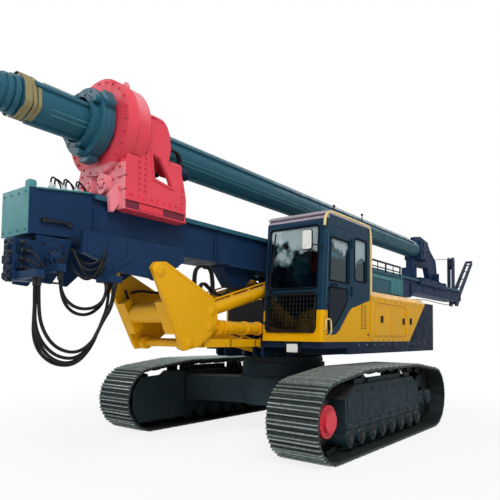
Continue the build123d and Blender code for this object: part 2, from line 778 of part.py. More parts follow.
with BuildPart() as mast_bracket:
    bracket_start = mast_pivot[0] - bracket_reach
    for sign in (1, -1):
        low, high = ordered(sign, bracket_inner, bracket_outer)
        plate([*shifted(mast_pivot, [(-bracket_reach - 250, 80), (-bracket_reach, 10),
                                     (10 - bracket_reach, -200),
                                     (55 - bracket_reach, -205), (200 - bracket_reach, -70), (-70, -95),
                                     (80, -90),
                                     (440, 145), (440, 260)]),
               (mast_pivot[0] + 440, mast_bottom + 60), (mast_pivot[0] - bracket_reach - 250, mast_bottom + 60)],
              low, high)
        block(ordered(sign, mast_half_width, bracket_inner), (bracket_start, mast_pivot[0] + 440),
              (mast_bottom - 20, mast_bottom + 60))
        cross_pin(mast_pivot, low, high, mast_pin_eye)
        cross_pin(mast_pivot, low, high, mast_pin + pin_play, mode=Mode.SUBTRACT)
    block((bracket_outer - 1, hose_block_outer), (bracket_start - 85, bracket_start + 85),
          (mast_pivot[1] - 210, mast_pivot[1] - 140))
    block((-bracket_inner, bracket_inner), (bracket_start, bracket_start + 300),
          (mast_bottom - 60, mast_bottom - seat_gap))
save(mast_bracket.part, "mast_bracket")

lug_near = cylinder_x - mast_cylinder[4] / 2 - lug_gap
lug_far = cylinder_x + mast_cylinder[4] / 2 + lug_gap
with BuildPart() as mast_lugs:
    for sign in (1, -1):
        block(ordered(sign, mast_half_width, lug_near), (mast_lug[0] - 130, mast_lug[0] + 190),
              (mast_bottom - 20, mast_bottom + 150))
        for low, high in ((lug_near - lug_thickness, lug_near), (lug_far, lug_far + lug_thickness)):
            plate([(mast_lug[0] - 130, mast_bottom + 150), (mast_lug[0] - 130, mast_bottom - 10),
                   *shifted(mast_lug, [(-60, -75), (60, -75)]),
                   (mast_lug[0] + 190, mast_bottom - 20), (mast_lug[0] + 190, mast_bottom + 150)], *ordered(sign, max(low, mast_half_width), high))
        block(ordered(sign, lug_near, lug_far), (mast_lug[0] - 130, mast_lug[0] + 190),
              (mast_bottom + 110, mast_bottom + 150))
        cross_pin(mast_lug, *ordered(sign, lug_far + lug_thickness, lug_far + lug_thickness + 15), 38)
    plate([(-1720, mast_bottom - seat_gap), (-1470, mast_bottom - 280), (-1240, mast_bottom - 280),
           (-890, mast_bottom - seat_gap)],
          -110, 110)
    block((-lug_near, lug_near), (-1720, mast_lug[0] + 190), (mast_bottom - 20, mast_bottom - seat_gap))
save(mast_lugs.part, "mast_lugs")

crowd_axis = (crowd_y, mast_nose_bottom - crowd_drop)
with BuildPart() as crowd_frame:
    nose_under = mast_nose_bottom - seat_gap
    for sign in (1, -1):
        plate([(crowd_y - 165, nose_under), (crowd_y - 160, nose_under - 250),
               (crowd_y - 150, nose_under - 450),
               (crowd_y, nose_under - 460), (crowd_y + 160, nose_under - 230), (crowd_y + 210, nose_under)],
              *ordered(sign, 200, 235))
        cross_pin(crowd_axis, *ordered(sign, 235, 262), 95)
    block((234, hose_block_outer), (mast_front - 100, mast_front - 20),
          (mast_nose_bottom - 445, mast_nose_bottom - 375))
    block((-235, 235), (crowd_y - 165, crowd_y + 210), (nose_under - 25, nose_under))
    block((60, 235), (mast_front - 130, crowd_y - 150), (nose_under - 450, nose_under - 60))
    block((234, hose_block_outer - 20), (crowd_y - 140, crowd_y - 60),
          (mast_nose_bottom - 370, mast_nose_bottom - 300))
    cross_pin(crowd_axis, -235, 235, 40)
save(crowd_frame.part, "crowd_frame")

with BuildPart() as crowd_drum:
    cross_pin(crowd_axis, -180, 180, 100)
    for x in (-180, 150):
        cross_pin(crowd_axis, x, x + 30, 150)
    cross_pin(crowd_axis, -180, 180, 40 + seat_gap, mode=Mode.SUBTRACT)
save(crowd_drum.part, "crowd_drum")

winch_axis = (winch_y, mast_bottom - winch_drop)
with BuildPart() as winch_frame:
    winch_under = mast_bottom - seat_gap
    for sign in (1, -1):
        plate([(winch_y - 200, winch_under), *shifted(winch_axis, [(-90, -70), (90, -70)]),
               (winch_y + 200, winch_under)],
              *ordered(sign, 230, 260))
    block((-260, 260), (winch_y - 200, winch_y + 200), (winch_under - 12, winch_under))
    cross_pin(winch_axis, -260, 260, 40)
save(winch_frame.part, "winch_frame")

with BuildPart() as winch_drum:
    cross_pin(winch_axis, -220, 220, winch_radius - 40)
    for x in (-220, 190):
        cross_pin(winch_axis, x, x + 30, winch_radius)
    cross_pin(winch_axis, -220, 220, 40 + seat_gap, mode=Mode.SUBTRACT)
save(winch_drum.part, "winch_drum")

arm_foot = (mast_rear + 20, mast_rear_bottom + 60)
arm_tip = (arm_foot[0] + arm_run, arm_foot[1] + arm_rise)
with BuildPart() as mast_head:
    for sign in (1, -1):
        plate([(mast_rear + seat_gap, mast_rear_bottom - 130), (mast_rear + 250, mast_rear_bottom - 130),
               (mast_rear + 560, mast_rear_bottom + 230), (arm_tip[0] + 60, arm_tip[1] - 70),
               (arm_tip[0] - 60, arm_tip[1] + 20),
               (mast_rear + 360, mast_rear_bottom + 330), (mast_rear + 200, mast_top), (mast_rear + seat_gap, mast_top)],
              *ordered(sign, 70, 105))
        plate([(mast_rear - 250, mast_top + seat_gap), (mast_rear - 250, upper_sheave[1] + 160),
               (mast_rear - 190, upper_sheave[1] + 215),
               (mast_rear - 60, upper_sheave[1] + 215), (mast_rear, upper_sheave[1] + 160), (mast_rear, mast_top + seat_gap)],
              *ordered(sign, 45, 80))
    block((-200, 200), (mast_rear + seat_gap, mast_rear + 45), (mast_rear_bottom + 20, mast_top))
    block((-105, 105), (mast_rear - 250, mast_rear + 60), (mast_top + seat_gap, mast_top + 45))
    block((-105, 105), (mast_rear + seat_gap, mast_rear + 60), (mast_top - 60, mast_top + 45))
    rod_between((-105, *arm_tip), (105, *arm_tip), 40)
    cross_pin(lower_sheave, -105, 105, sheave_pin)
    cross_pin(upper_sheave, -80, 80, sheave_pin)
save(mast_head.part, "mast_head")


def sheave(place, radius):
    """Grooved rope sheave about X with its bore on the pin."""
    with BuildPart() as made:
        cross_pin(place, -sheave_width / 2, sheave_width / 2, radius)
        cross_pin(place, -12, 12, radius + 5, mode=Mode.SUBTRACT)
        cross_pin(place, -12, 12, radius - 30)
        cross_pin(place, -sheave_width / 2, sheave_width / 2, sheave_pin + seat_gap, mode=Mode.SUBTRACT)
    return made.part


save(sheave(lower_sheave, 0.68 * sheave_radius), "lower_sheave")
save(sheave(upper_sheave, 0.75 * sheave_radius), "upper_sheave")

# Rotary head

head_outer = head_inner + head_plate
carriage_base = mast_top + 20
carriage_outline = [
    (head_front, carriage_base), (head_front, kelly_axis - 510), (head_front + 120, kelly_axis),
    (head_front + 250, kelly_axis + 130), (head_rear - 480, kelly_axis + 160),
    (head_rear - 366, kelly_axis + 138),
    (head_rear - 284, kelly_axis + 46), (head_rear - 263, kelly_axis - 127),
    (head_rear - 300, kelly_axis - 319),
    (head_rear - 241, kelly_axis - 337), (head_rear - 94, kelly_axis - 346),
    (head_rear - 40, kelly_axis - 495),
    (head_rear, kelly_axis - 670), (head_rear, carriage_base),
]
carriage_hole = [
    (head_rear - 540, kelly_axis - 260), (head_rear - 430, kelly_axis - 292),
    (head_rear - 300, kelly_axis - 467),
    (head_rear - 250, kelly_axis - 566), (head_rear - 500, kelly_axis - 522),
]
shoe_low = mast_top - shoe_depth
with BuildPart() as head_carriage:
    for sign in (1, -1):
        low, high = ordered(sign, head_inner, head_outer)
        plate(carriage_outline, low, high)
        plate(carriage_hole, low, high, mode=Mode.SUBTRACT)
        block(ordered(sign, mast_half_width + rail_width + 10, head_outer), (head_front, head_rear),
              (shoe_low, mast_top + 50))
        block(ordered(sign, mast_half_width + 10, mast_half_width + rail_width + 10),
              (head_front + 60, head_rear),
              (shoe_low, mast_top - rail_depth - 8))
        plate([(head_front, mast_top + 150), (head_front - 30, mast_top + 150),
               (head_front - 130, mast_top + 15),
               (head_front - 105, shoe_low - 45), (head_front - 65, shoe_low - 40), (head_front, shoe_low + 60)],
              *ordered(sign, mast_half_width + rail_width + 10, mast_half_width + rail_width + 55))
    block((-head_inner, head_inner), (head_front, head_rear), (mast_top + seat_gap, mast_top + 50))
    block((-head_inner, head_inner), (head_front, head_front + 40), (mast_top + 50, kelly_axis - 400))
    for x in (-130, 130):
        with BuildSketch(Plane.XZ.offset(-head_front)) as boss:
            with Locations((x, mast_top + 175)):
                SlotOverall(230, 150, rotation=90)
        extrude(boss.sketch, amount=boss_reach)
    long_bar(0, kelly_axis, head_front - 10, head_front + ring_step + 60, ring_radius + 2,
             mode=Mode.SUBTRACT)
    long_bar(0, kelly_axis, head_front - 10, head_rear + 10, sleeve_radius + 15, mode=Mode.SUBTRACT)
save(head_carriage.part, "head_carriage")

with BuildPart() as head_gearbox:
    long_bar(0, kelly_axis, ring_front, ring_front + ring_step, ring_radius)
    long_bar(0, kelly_axis, ring_front + ring_step, drum_rear, drum_radius)
    long_bar(0, kelly_axis, drum_rear, ring_rear, body_radius)
    for sign in (1, -1):
        long_bar(sign * motor_place[0], motor_place[1], ring_rear - 20, ring_rear + 200, motor_radius)
        block(ordered(sign, head_inner, head_outer), (head_front + ring_step + 60, head_rear),
              (mast_top, kelly_axis + 200),
              mode=Mode.SUBTRACT)
    long_bar(0, kelly_axis, ring_front, ring_rear, bearing_radius + seat_gap, mode=Mode.SUBTRACT)
    with Locations(Plane(origin=(0, ring_front, kelly_axis), x_dir=(1, 0, 0), z_dir=(0, -1, 0))):
        with PolarLocations(ring_radius - 35, 24):
            Cylinder(14, 30)
save(head_gearbox.part, "head_gearbox")

with BuildPart() as drive_sleeve:
    long_bar(0, kelly_axis, sleeve_front - collar_reach, sleeve_front, collar_radius)
    long_bar(0, kelly_axis, sleeve_front, ring_front - seat_gap - 35, sleeve_radius)
    long_bar(0, kelly_axis, ring_front - seat_gap - 35, ring_rear, bearing_radius)
    for turn in (90, 210, 330):
        with BuildSketch(Plane(origin=(0, sleeve_front + 20, kelly_axis), x_dir=(1, 0, 0),
                               z_dir=(0, 1, 0))) as ear:
            with PolarLocations(sleeve_radius, 1, start_angle=turn):
                RectangleRounded(130, 190, 40)
        extrude(ear.sketch, amount=110)
    long_bar(0, kelly_axis, sleeve_front - collar_reach, ring_rear, sleeve_bore, mode=Mode.SUBTRACT)
save(drive_sleeve.part, "drive_sleeve")

# Kelly bar and its guide

with BuildPart() as kelly_outer:
    long_bar(0, kelly_axis, kelly_front, kelly_rear, kelly_radius)
    for turn in (90, 210, 330):
        with BuildSketch(Plane(origin=(0, kelly_front + 60, kelly_axis), x_dir=(1, 0, 0),
                               z_dir=(0, 1, 0))) as key:
            with PolarLocations(kelly_radius, 1, start_angle=turn):
                Rectangle(2 * key_height, key_width)
        extrude(key.sketch, amount=guide_front - 200 - kelly_front)
    long_bar(0, kelly_axis, kelly_front, kelly_rear, outer_bore, mode=Mode.SUBTRACT)
save(kelly_outer.part, "kelly_outer")

with BuildPart() as kelly_middle:
    long_bar(0, kelly_axis, kelly_front - seat_gap, kelly_rear - 300, middle_radius)
    for number in range(4):
        ring_y = kelly_front - seat_gap - 70 * (number + 1)
        long_bar(0, kelly_axis, ring_y + 20, ring_y + 70, kelly_radius - 12 * number)
        long_bar(0, kelly_axis, ring_y, ring_y + 20, middle_radius)
    long_bar(0, kelly_axis, kelly_front - 400, kelly_rear - 300, middle_bore, mode=Mode.SUBTRACT)
save(kelly_middle.part, "kelly_middle")

with BuildPart() as kelly_inner:
    inner_face = kelly_front - 280 - 2 * seat_gap
    long_bar(0, kelly_axis, inner_face - 200, kelly_rear - 600, inner_radius)
    long_bar(0, kelly_axis, inner_face - 160, inner_face, middle_radius - 10)
    block((-stub_half, stub_half), (stub_front, inner_face - 200),
          (kelly_axis - stub_half, kelly_axis + stub_half))
    cross_pin((stub_front + 90, kelly_axis), -stub_half, stub_half, 32, mode=Mode.SUBTRACT)
save(kelly_inner.part, "kelly_inner")

guide_half = 60
guide_base = mast_top + seat_gap
guide_outline = [
    (guide_front, guide_base), (guide_front, kelly_axis - 300), (guide_front + 200, kelly_axis),
    (guide_front + 300, kelly_axis + 330),
    (kelly_rear + 150, kelly_axis + 400), (kelly_rear + 700, kelly_axis + 330),
    (kelly_rear + 940, kelly_axis + 120),
    (guide_rear - 130, kelly_axis - 130), (guide_rear, mast_top + 110), (guide_rear, guide_base),
]
guide_window = [
    (guide_front + 350, mast_top + 110), (guide_front + 350, mast_top + 390),
    (guide_rear - 900, mast_top + 430), (guide_rear - 680, mast_top + 110),
]
with BuildPart() as kelly_guide:
    plate(guide_outline, -guide_half, guide_half)
    plate(guide_window, -guide_half, guide_half, mode=Mode.SUBTRACT)
    long_bar(0, kelly_axis, guide_front - 10, kelly_rear + 10, kelly_radius + key_height + 12,
             mode=Mode.SUBTRACT)
    block((-kelly_radius - 15, kelly_radius + 15), (kelly_rear - 250, kelly_rear - 50),
          (kelly_axis - kelly_radius - 60, kelly_axis + kelly_radius + 25))
    block((-kelly_radius - 15, kelly_radius + 15), (kelly_rear + 10, kelly_rear + 300),
          (kelly_axis - kelly_radius - 60, kelly_axis + kelly_radius + 25))
    for sign in (1, -1):
        plate([(kelly_rear - 60, kelly_axis - 200), (kelly_rear + 20, kelly_axis - 200),
               (kelly_rear + 20, kelly_axis + 230), (kelly_rear - 60, kelly_axis + 230)],
              *ordered(sign, kelly_radius + 15, kelly_radius + 27))
        block(ordered(sign, kelly_radius, kelly_radius + 27), (kelly_rear - 250, kelly_rear + 300),
              (kelly_axis - 40, kelly_axis + 40))
        block(ordered(sign, mast_half_width + rail_width + 10, 320), (guide_front, guide_rear),
              (mast_top - rail_depth - 45, mast_top + 60))
        block(ordered(sign, mast_half_width + 10, mast_half_width + rail_width + 10),
              (guide_front, guide_rear), (mast_top - rail_depth - 45, mast_top - rail_depth - 8))
    block((-320, 320), (guide_front, guide_rear), (guide_base, mast_top + 60))
    long_bar(0, kelly_axis, kelly_rear - 260, kelly_rear - 40, kelly_radius + seat_gap, mode=Mode.SUBTRACT)
save(kelly_guide.part, "kelly_guide")

# Hoses hanging in front of the linkage, as (y, z) points of the route at one x

hose_routes = {
    "hose_long": (520, [(-4700, 1995), (-4700, 1760), (-4690, 1450), (-4520, 1250), (-4285, 1215),
                        (-4120, 1385), (-4000, 1600),
                        (-3850, 1810), (-3850, 2020)]),
    "hose_second": (575, [(-4700, 1995), (-4700, 1800), (-4670, 1560), (-4530, 1370), (-4300, 1310),
                          (-4110, 1440), (-4010, 1660),
                          (-3905, 1830), (-3905, 2020)]),
    "hose_short": (540, [(-4480, 2070), (-4480, 1890), (-4330, 1740), (-4110, 1740), (-3960, 1860),
                         (-3960, 2020)]),
}


def hose(x, route):
    """Hose of straight runs joined by arcs that touch them, and the arcs' radii."""
    points = [Vector(x, y, z) for y, z in route]
    starts, radii = [points[0]], []
    with BuildPart() as made:
        with BuildLine() as path:
            for before, corner, after in zip(points, points[1:], points[2:]):
                into, out = (corner - before).normalized(), (after - corner).normalized()
                half_turn = acos(max(-1, min(1, into.dot(out)))) / 2
                reach = 0.45 * min((corner - before).length, (after - corner).length)
                radii.append(reach / tan(half_turn))
                begin, finish = corner - into * reach, corner + out * reach
                bow = radii[-1] / cos(half_turn) - radii[-1]
                middle = corner + (out - into).normalized() * bow
                Line(starts[-1], begin)
                ThreePointArc(begin, middle, finish)
                starts.append(finish)
            Line(starts[-1], points[-1])
        with BuildSketch(Plane(origin=points[0], z_dir=points[1] - points[0])):
            Circle(hose_radius)
        sweep(path=path.wire())
    return made.part, radii


for label, (hose_x, route) in hose_routes.items():
    made, radii = hose(hose_x, route)
    print(label, "arc radii", [round(radius) for radius in radii])
    save(made, label)
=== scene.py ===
"""Looks of the rotary piling rig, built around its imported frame.

Metres, +Z up, front toward -Y, the cab on +X. The origin is on the ground under the slewing axis.
A shape here is a pair (points, faces), worked out with numpy and joined into pieces.
"""

import bpy
import numpy as np
from mathutils import Matrix, Vector


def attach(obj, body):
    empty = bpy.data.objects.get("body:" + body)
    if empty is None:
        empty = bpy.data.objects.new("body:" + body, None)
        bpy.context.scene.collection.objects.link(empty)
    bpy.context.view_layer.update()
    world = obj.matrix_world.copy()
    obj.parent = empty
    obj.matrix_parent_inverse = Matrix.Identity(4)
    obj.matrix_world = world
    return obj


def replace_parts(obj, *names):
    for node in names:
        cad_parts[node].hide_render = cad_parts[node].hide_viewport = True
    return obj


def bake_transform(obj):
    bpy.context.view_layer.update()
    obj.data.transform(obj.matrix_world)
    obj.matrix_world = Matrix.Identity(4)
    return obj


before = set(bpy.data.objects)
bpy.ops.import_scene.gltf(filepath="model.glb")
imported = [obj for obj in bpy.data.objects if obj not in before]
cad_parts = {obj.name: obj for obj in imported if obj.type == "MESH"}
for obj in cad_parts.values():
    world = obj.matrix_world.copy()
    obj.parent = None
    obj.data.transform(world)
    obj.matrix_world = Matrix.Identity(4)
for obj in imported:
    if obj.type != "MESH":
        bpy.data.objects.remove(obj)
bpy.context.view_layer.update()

# Camera, fitted to the photograph's edges
PHOTO_SIZE = 500
FOCAL_PIXELS = 508.1
PRINCIPAL_ROW = 306.95
CAMERA_PLACE = (4.783, -7.074, 1.516)
CAMERA_YAW = np.radians(37.9)
CAMERA_PITCH = 0.054
CAMERA_ROLL = 0.013
SENSOR_MM = 36.0
CLIP_END = 200

# Finishes, as sRGB
YELLOW = "#e6a900"
PALE_YELLOW = "#e0ca86"
CORAL = "#dc4455"
NAVY = "#163152"
TEAL = "#22586a"
PALE_TEAL = "#45868a"
DARK_NAVY = "#0f233a"
CAB_TEAL = "#12344a"
FRAME_GREY = "#22333a"
ROOF_GREY = "#a9a0ad"
DRIVE_RED = "#d83a4a"
SHOE_DARK = "#252e31"
SHOE_WORN = "#b6c4c4"
RUBBER = "#141517"
ROAD_DUST = "#8d867a"
CHIPPED_STEEL = "#2b2523"
BROWN_RUST = "#4b3a2f"
DRY_SOIL = "#5d564d"

# Track, as the frame has it
TRACK_GAUGE = 3.2
SHOE_WIDTH = 0.7
AXLE_HEIGHT = 0.5
WHEEL_PLACE = 1.74
TRACK_TOP = 1.1
RAISED_RUN_HALF = 0.9
SHOE_COUNT = 52
ROLLER_HEIGHT = 0.2153
ROLLER_FACE = 1.829
ROLLER_SPAN = 1.1903
ROLLER_COUNT = 8

# Faces and axes that several pieces stand on, as the frame has them
CAB_CORNER = -1.13
CAB_SIDE = 1.462
GASKET_FACE = 1.466
HOUSE_SIDE = 1.46
TRIANGLE_SIDE = 0.4545
BRACKET_SIDE = 0.394
MAST_JOINTS = (-2.0, 5.2)
MAST_LOW_SEAM = 2.48
MAST_HIGH_SEAM = 2.895
KELLY_AXIS = 3.8
KELLY_KEYS = np.radians((90, 210, 330))
HEAD_SIDE = 0.4195
CROWD_AXIS = (-4.38, 2.21)
WINCH_AXIS = (1.15, 2.275)
UPPER_SHEAVE = (9.33, 3.79)
LOWER_SHEAVE = (9.665, 2.7)
SHEAVE_RADIUS = 0.215


# Small tools for shapes

CORNER_STEPS = 5
BEND_ROUNDS = 3
COIL_STEPS = 22
# A washer's radius in radii of its bolt's head, and its thickness in heights of it
WASHER_WIDTH = 1.35
WASHER_THICKNESS = 0.3


def merged(*shapes):
    """One shape out of several: their points in a row, their faces counted on."""
    points, faces, start = [], [], 0
    for some_points, some_faces in shapes:
        points.append(np.asarray(some_points, float).reshape(-1, 3))
        faces += [[start + i for i in face] for face in some_faces]
        start += len(points[-1])
    return np.concatenate(points), faces


def grid(points, round_v=False, capped=False):
    """Surface over places points[u, v], closed round u: neighbours make quads, caps close both ends of v."""
    count_u, count_v = points.shape[:2]
    u = np.arange(count_u)
    v = np.arange(count_v if round_v else count_v - 1)
    uu, vv = np.meshgrid(u, v, indexing="ij")
    un, vn = (uu + 1) % count_u, (vv + 1) % count_v
    faces = np.stack([uu * count_v + vv, un * count_v + vv, un * count_v + vn, uu * count_v + vn], -1)
    faces = faces.reshape(-1, 4).tolist()
    if capped:
        faces.append([int(i) * count_v for i in range(count_u)][::-1])
        faces.append([int(i) * count_v + count_v - 1 for i in range(count_u)])
    return points.reshape(-1, 3), faces


def drawn_in(outline, amount):
    """Closed outline moved inward by an amount square to each edge, and twice its signed area."""
    edge = np.roll(outline, -1, 0) - outline
    length = np.linalg.norm(edge, axis=1, keepdims=True)
    normal = np.stack([edge[:, 1], -edge[:, 0]], 1) / length
    before = np.roll(normal, 1, 0)
    spread = (normal + before) / (1 + (normal * before).sum(1, keepdims=True)).clip(0.3)
    area = (outline[:, 0] * np.roll(outline[:, 1], -1) - np.roll(outline[:, 0], -1) * outline[:, 1]).sum()
    return outline - np.sign(area) * spread * amount, area


def slab(outline, low, high, axis=0, bevel=0.0):
    """Plate: a closed outline in the plane across an axis, carried from low to high, its rims bevelled."""
    outline = np.asarray(outline, float)
    inner, area = drawn_in(outline, bevel)
    rings = [(inner, low), (outline, low + bevel), (outline, high - bevel), (inner, high)]
    if not bevel:
        rings = [(outline, low), (outline, high)]
    stack = np.stack([np.insert(ring, axis, level, axis=1) for ring, level in rings], 1)
    points, faces = grid(stack, capped=True)
    if (area > 0) == (axis == 1):
        faces = [face[::-1] for face in faces]
    return points, faces


def rim(outline, width, low, high, axis=0):
    """Flat frame of a width inside an outline, carried from low to high."""
    outline = np.asarray(outline, float)
    inner, area = drawn_in(outline, width)
    rings = [(outline, low), (outline, high), (inner, high), (inner, low)]
    stack = np.stack([np.insert(ring, axis, level, axis=1) for ring, level in rings], 1)
    points, faces = grid(stack, round_v=True)
    if (area > 0) == (axis == 1):
        faces = [face[::-1] for face in faces]
    return points, faces


def rect(u0, v0, u1, v1):
    """Outline of a rectangle from its low to its high corner."""
    return [(u0, v0), (u1, v0), (u1, v1), (u0, v1)]


def box(x, y, z, bevel=0.0):
    """Block between the low and high values of x, y and z."""
    return slab(rect(x[0], y[0], x[1], y[1]), *z, axis=2, bevel=bevel)


def turned_about(start, end, profile, sides):
    """Turned piece: profile rows (distance along, radius) carried round the line from start to end."""
    start, end = np.asarray(start, float), np.asarray(end, float)
    along = (end - start) / np.linalg.norm(end - start)
    across = np.cross(along, (0, 0, 1) if abs(along[2]) < 0.9 else (1, 0, 0))
    across /= np.linalg.norm(across)
    third = np.cross(along, across)
    angle = np.linspace(0, 2 * np.pi, sides, endpoint=False)[:, None, None]
    profile = np.asarray(profile, float)
    reach, radius = profile[None, :, :1], profile[None, :, 1:]
    points = start + along * reach + radius * (np.cos(angle) * across + np.sin(angle) * third)
    return grid(points, capped=True)


def stub(axis, start, reach, profile, sides):
    """Turned piece along x, y or z (axis 0, 1 or 2), from a place to the value that axis reaches."""
    end = list(start)
    end[axis] = reach
    return turned_about(start, end, profile, sides)


def belt(radius, out, width, ease=0.004):
    """Profile of a band that stands out from a radius, its rims sloped over a short ease."""
    return [(0, radius), (ease, radius + out), (width - ease, radius + out), (width, radius)]


def bar(start, end, radius, sides, bevel=0.0):
    """Round bar between two places, its rims drawn in by bevel."""
    length = float(np.linalg.norm(np.subtract(end, start)))
    profile = [(0, radius), (length, radius)]
    if bevel:
        profile = [(0, radius - bevel), (bevel, radius), (length - bevel, radius), (length, radius - bevel)]
    return turned_about(start, end, profile, sides)


def tube(path, radius, sides):
    """Pipe: a circle carried along a path of places, square to it, turned as little as possible."""
    path = np.asarray(path, float)
    along = np.gradient(path, axis=0)
    along /= np.linalg.norm(along, axis=1, keepdims=True)
    across = np.cross(along, (0.13, 0.31, 0.94))
    across /= np.linalg.norm(across, axis=1, keepdims=True)
    third = np.cross(along, across)
    angle = np.linspace(0, 2 * np.pi, sides, endpoint=False)[:, None, None]
    points = path + radius * (np.cos(angle) * across + np.sin(angle) * third)
    return grid(points, capped=True)


def bent(points):
    """Soft line through a route: each round cuts every corner a quarter of the way along both its sides."""
    points = np.asarray(points, float)
    for _ in range(BEND_ROUNDS):
        cut = np.stack([0.75 * points[:-1] + 0.25 * points[1:], 0.25 * points[:-1] + 0.75 * points[1:]],
                       1).reshape(-1, 3)
        points = np.concatenate([points[:1], cut[1:-1], points[-1:]])
    return points


def coil(centre, radius, wire, low, high):
    """Close wraps of rope about an axis along x, from low to high: a helix, one rope's width a turn."""
    turns = (high - low) / (2 * wire)
    angle = np.linspace(0, 2 * np.pi * turns, int(turns * COIL_STEPS))
    y, z = centre[0] + radius * np.cos(angle), centre[1] + radius * np.sin(angle)
    return tube(np.stack([np.linspace(low, high, len(angle)), y, z], 1), wire, 7)


def rounded(low, high, radius):
    """Outline of a rectangle from its low to its high corner, with arcs of a radius at the corners."""
    turn = np.linspace(0, np.pi / 2, CORNER_STEPS)
    arc = np.stack([np.cos(turn), np.sin(turn)], 1) * radius
    (u0, v0), (u1, v1) = low, high
    points = []
    u0, v0, u1, v1 = u0 + radius, v0 + radius, u1 - radius, v1 - radius
    for corner in ((u1, v1), (u0, v1), (u0, v0), (u1, v0)):
        points.append(corner + arc)
        arc = np.stack([-arc[:, 1], arc[:, 0]], 1)
    return np.concatenate(points)


def in_circle(centre, radius, count, axis=0, first=0.0):
    """Places spaced evenly round a circle about an axis."""
    angle = first + np.arange(count) * 2 * np.pi / count
    places = np.tile(np.asarray(centre, float), (count, 1))
    one, other = [i for i in range(3) if i != axis]
    places[:, one] += radius * np.cos(angle)
    places[:, other] += radius * np.sin(angle)
    return places


def in_row(start, end, count):
    """Places spaced evenly on a line."""
    return np.linspace(start, end, count)


def placed(shape, places):
    """Copies of a shape, one at each place."""
    points, faces = shape
    places = np.asarray(places, float).reshape(-1, 1, 3)
    copies = (points[None] + places).reshape(-1, 3)
    step = len(points)
    return copies, [[i + step * k for i in face] for k in range(len(places)) for face in faces]


def mirrored(shape):
    """The shape and its mirror image across x = 0."""
    points, faces = shape
    return merged(shape, (points * (-1, 1, 1), [face[::-1] for face in faces]))


def bolts_at(axis, radius, height, places):
    """Hexagon heads with washers at places, standing along x, y or z (axis 1, 2 or 3, below 0 backward)."""
    end = np.zeros(3)
    end[abs(axis) - 1] = np.sign(axis) * height
    wide, thick = radius * WASHER_WIDTH, height * WASHER_THICKNESS
    washer = turned_about((0, 0, 0), end, [(0, wide), (thick, wide)], 10)
    profile = [(thick, radius), (thick + height * 0.85, radius), (thick + height, radius * 0.85)]
    return placed(merged(washer, turned_about((0, 0, 0), end, profile, 6)), places)


def hose(route, radius, sides=10):
    """Pipe or hose bent softly through a route."""
    return tube(bent(route), radius, sides)


def piece(name, shapes, body, material, smooth=35):
    """A mesh object made of shapes, riding on a body if one is named."""
    points, faces = merged(*shapes)
    mesh = bpy.data.meshes.new(name)
    mesh.from_pydata([tuple(point) for point in points.tolist()], [], faces)
    mesh.update()
    made = bpy.data.objects.new(name, mesh)
    bpy.context.collection.objects.link(made)
    mesh.materials.append(material)
    mesh.shade_smooth()
    mesh.set_sharp_from_angle(angle=np.radians(smooth))
    if body:
        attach(made, body)
    return made


def pair(name, shapes, body, material):
    """A piece made of shapes and their mirror images across x = 0."""
    piece(name, [mirrored(merged(*shapes))], body, material)


# Small tools for materials


def linear(code):
    """sRGB hex to linear red, green, blue and 1."""
    values = np.array([int(code[i:i + 2], 16) for i in (1, 3, 5)]) / 255
    values = np.where(values <= 0.04045, values / 12.92, ((values + 0.055) / 1.055) ** 2.4)
    return (*values.tolist(), 1.0)


def add(tree, kind, sockets=(), **settings):
    """A node of a kind with its settings; sockets maps a name or number to a value or a node's output."""
    node = tree.nodes.new("ShaderNode" + kind)
    for key, value in settings.items():
        setattr(node, key, value)
    for key, value in dict(sockets).items():
        if isinstance(value, bpy.types.NodeSocket):
            tree.links.new(value, node.inputs[key])
        else:
            node.inputs[key].default_value = value
    return node


def started(name, **shader_values):
    """A new material with its shader and Object coordinates."""
    material = bpy.data.materials.new(name)
    material.use_nodes = True
    tree = material.node_tree
    shader = tree.nodes["Principled BSDF"]
    for key, value in shader_values.items():
        shader.inputs[key.replace("_", " ")].default_value = value
    place = add(tree, "TexCoord").outputs["Object"]
    return material, tree, shader, place


def mixed(tree, share, low, high):
    """Colour between two colours at a share."""
    return add(tree, "Mix", {0: share, 6: low, 7: high}, data_type="RGBA").outputs[2]


def stepped(tree, value, low, high, to_low=0.0, to_high=1.0):
    """A value's stretch from low to high, brought to another stretch and held at its ends."""
    return add(tree, "MapRange",
               {"Value": value, "From Min": low, "From Max": high, "To Min": to_low, "To Max": to_high},
               interpolation_type="SMOOTHSTEP").outputs["Result"]


def calculated(tree, operation, first, second=0.0):
    """Result of a Math node on two values."""
    return add(tree, "Math", {0: first, 1: second}, operation=operation).outputs[0]


def times(tree, first, second):
    """Product of two values."""
    return calculated(tree, "MULTIPLY", first, second)


def above(tree, value, level):
    """1 where a value is over a level."""
    return calculated(tree, "GREATER_THAN", value, level)


def below(tree, value, level):
    """1 where a value is under a level."""
    return calculated(tree, "LESS_THAN", value, level)


def noise(tree, place, scale, detail, **more):
    """Noise of a scale and detail at a place."""
    return add(tree, "TexNoise", {"Vector": place, "Scale": scale, "Detail": detail, **more}).outputs["Fac"]


def parted(tree, place):
    """X, Y and Z of a place or a direction."""
    return add(tree, "SeparateXYZ", {0: place}).outputs


def shaded(colour, share):
    """A linear colour darkened or lightened by a share, and opaque."""
    return tuple(min(1.0, share * c) for c in colour[:3]) + (1.0,)


def dressed(tree, shader, tone, roughness, height, strength, distance, **more):
    """Colour, roughness and relief joined to a shader."""
    tree.links.new(tone, shader.inputs["Base Color"])
    tree.links.new(roughness, shader.inputs["Roughness"])
    bump = add(tree, "Bump", {"Strength": strength, "Distance": distance, "Height": height, **more})
    tree.links.new(bump.outputs["Normal"], shader.inputs["Normal"])


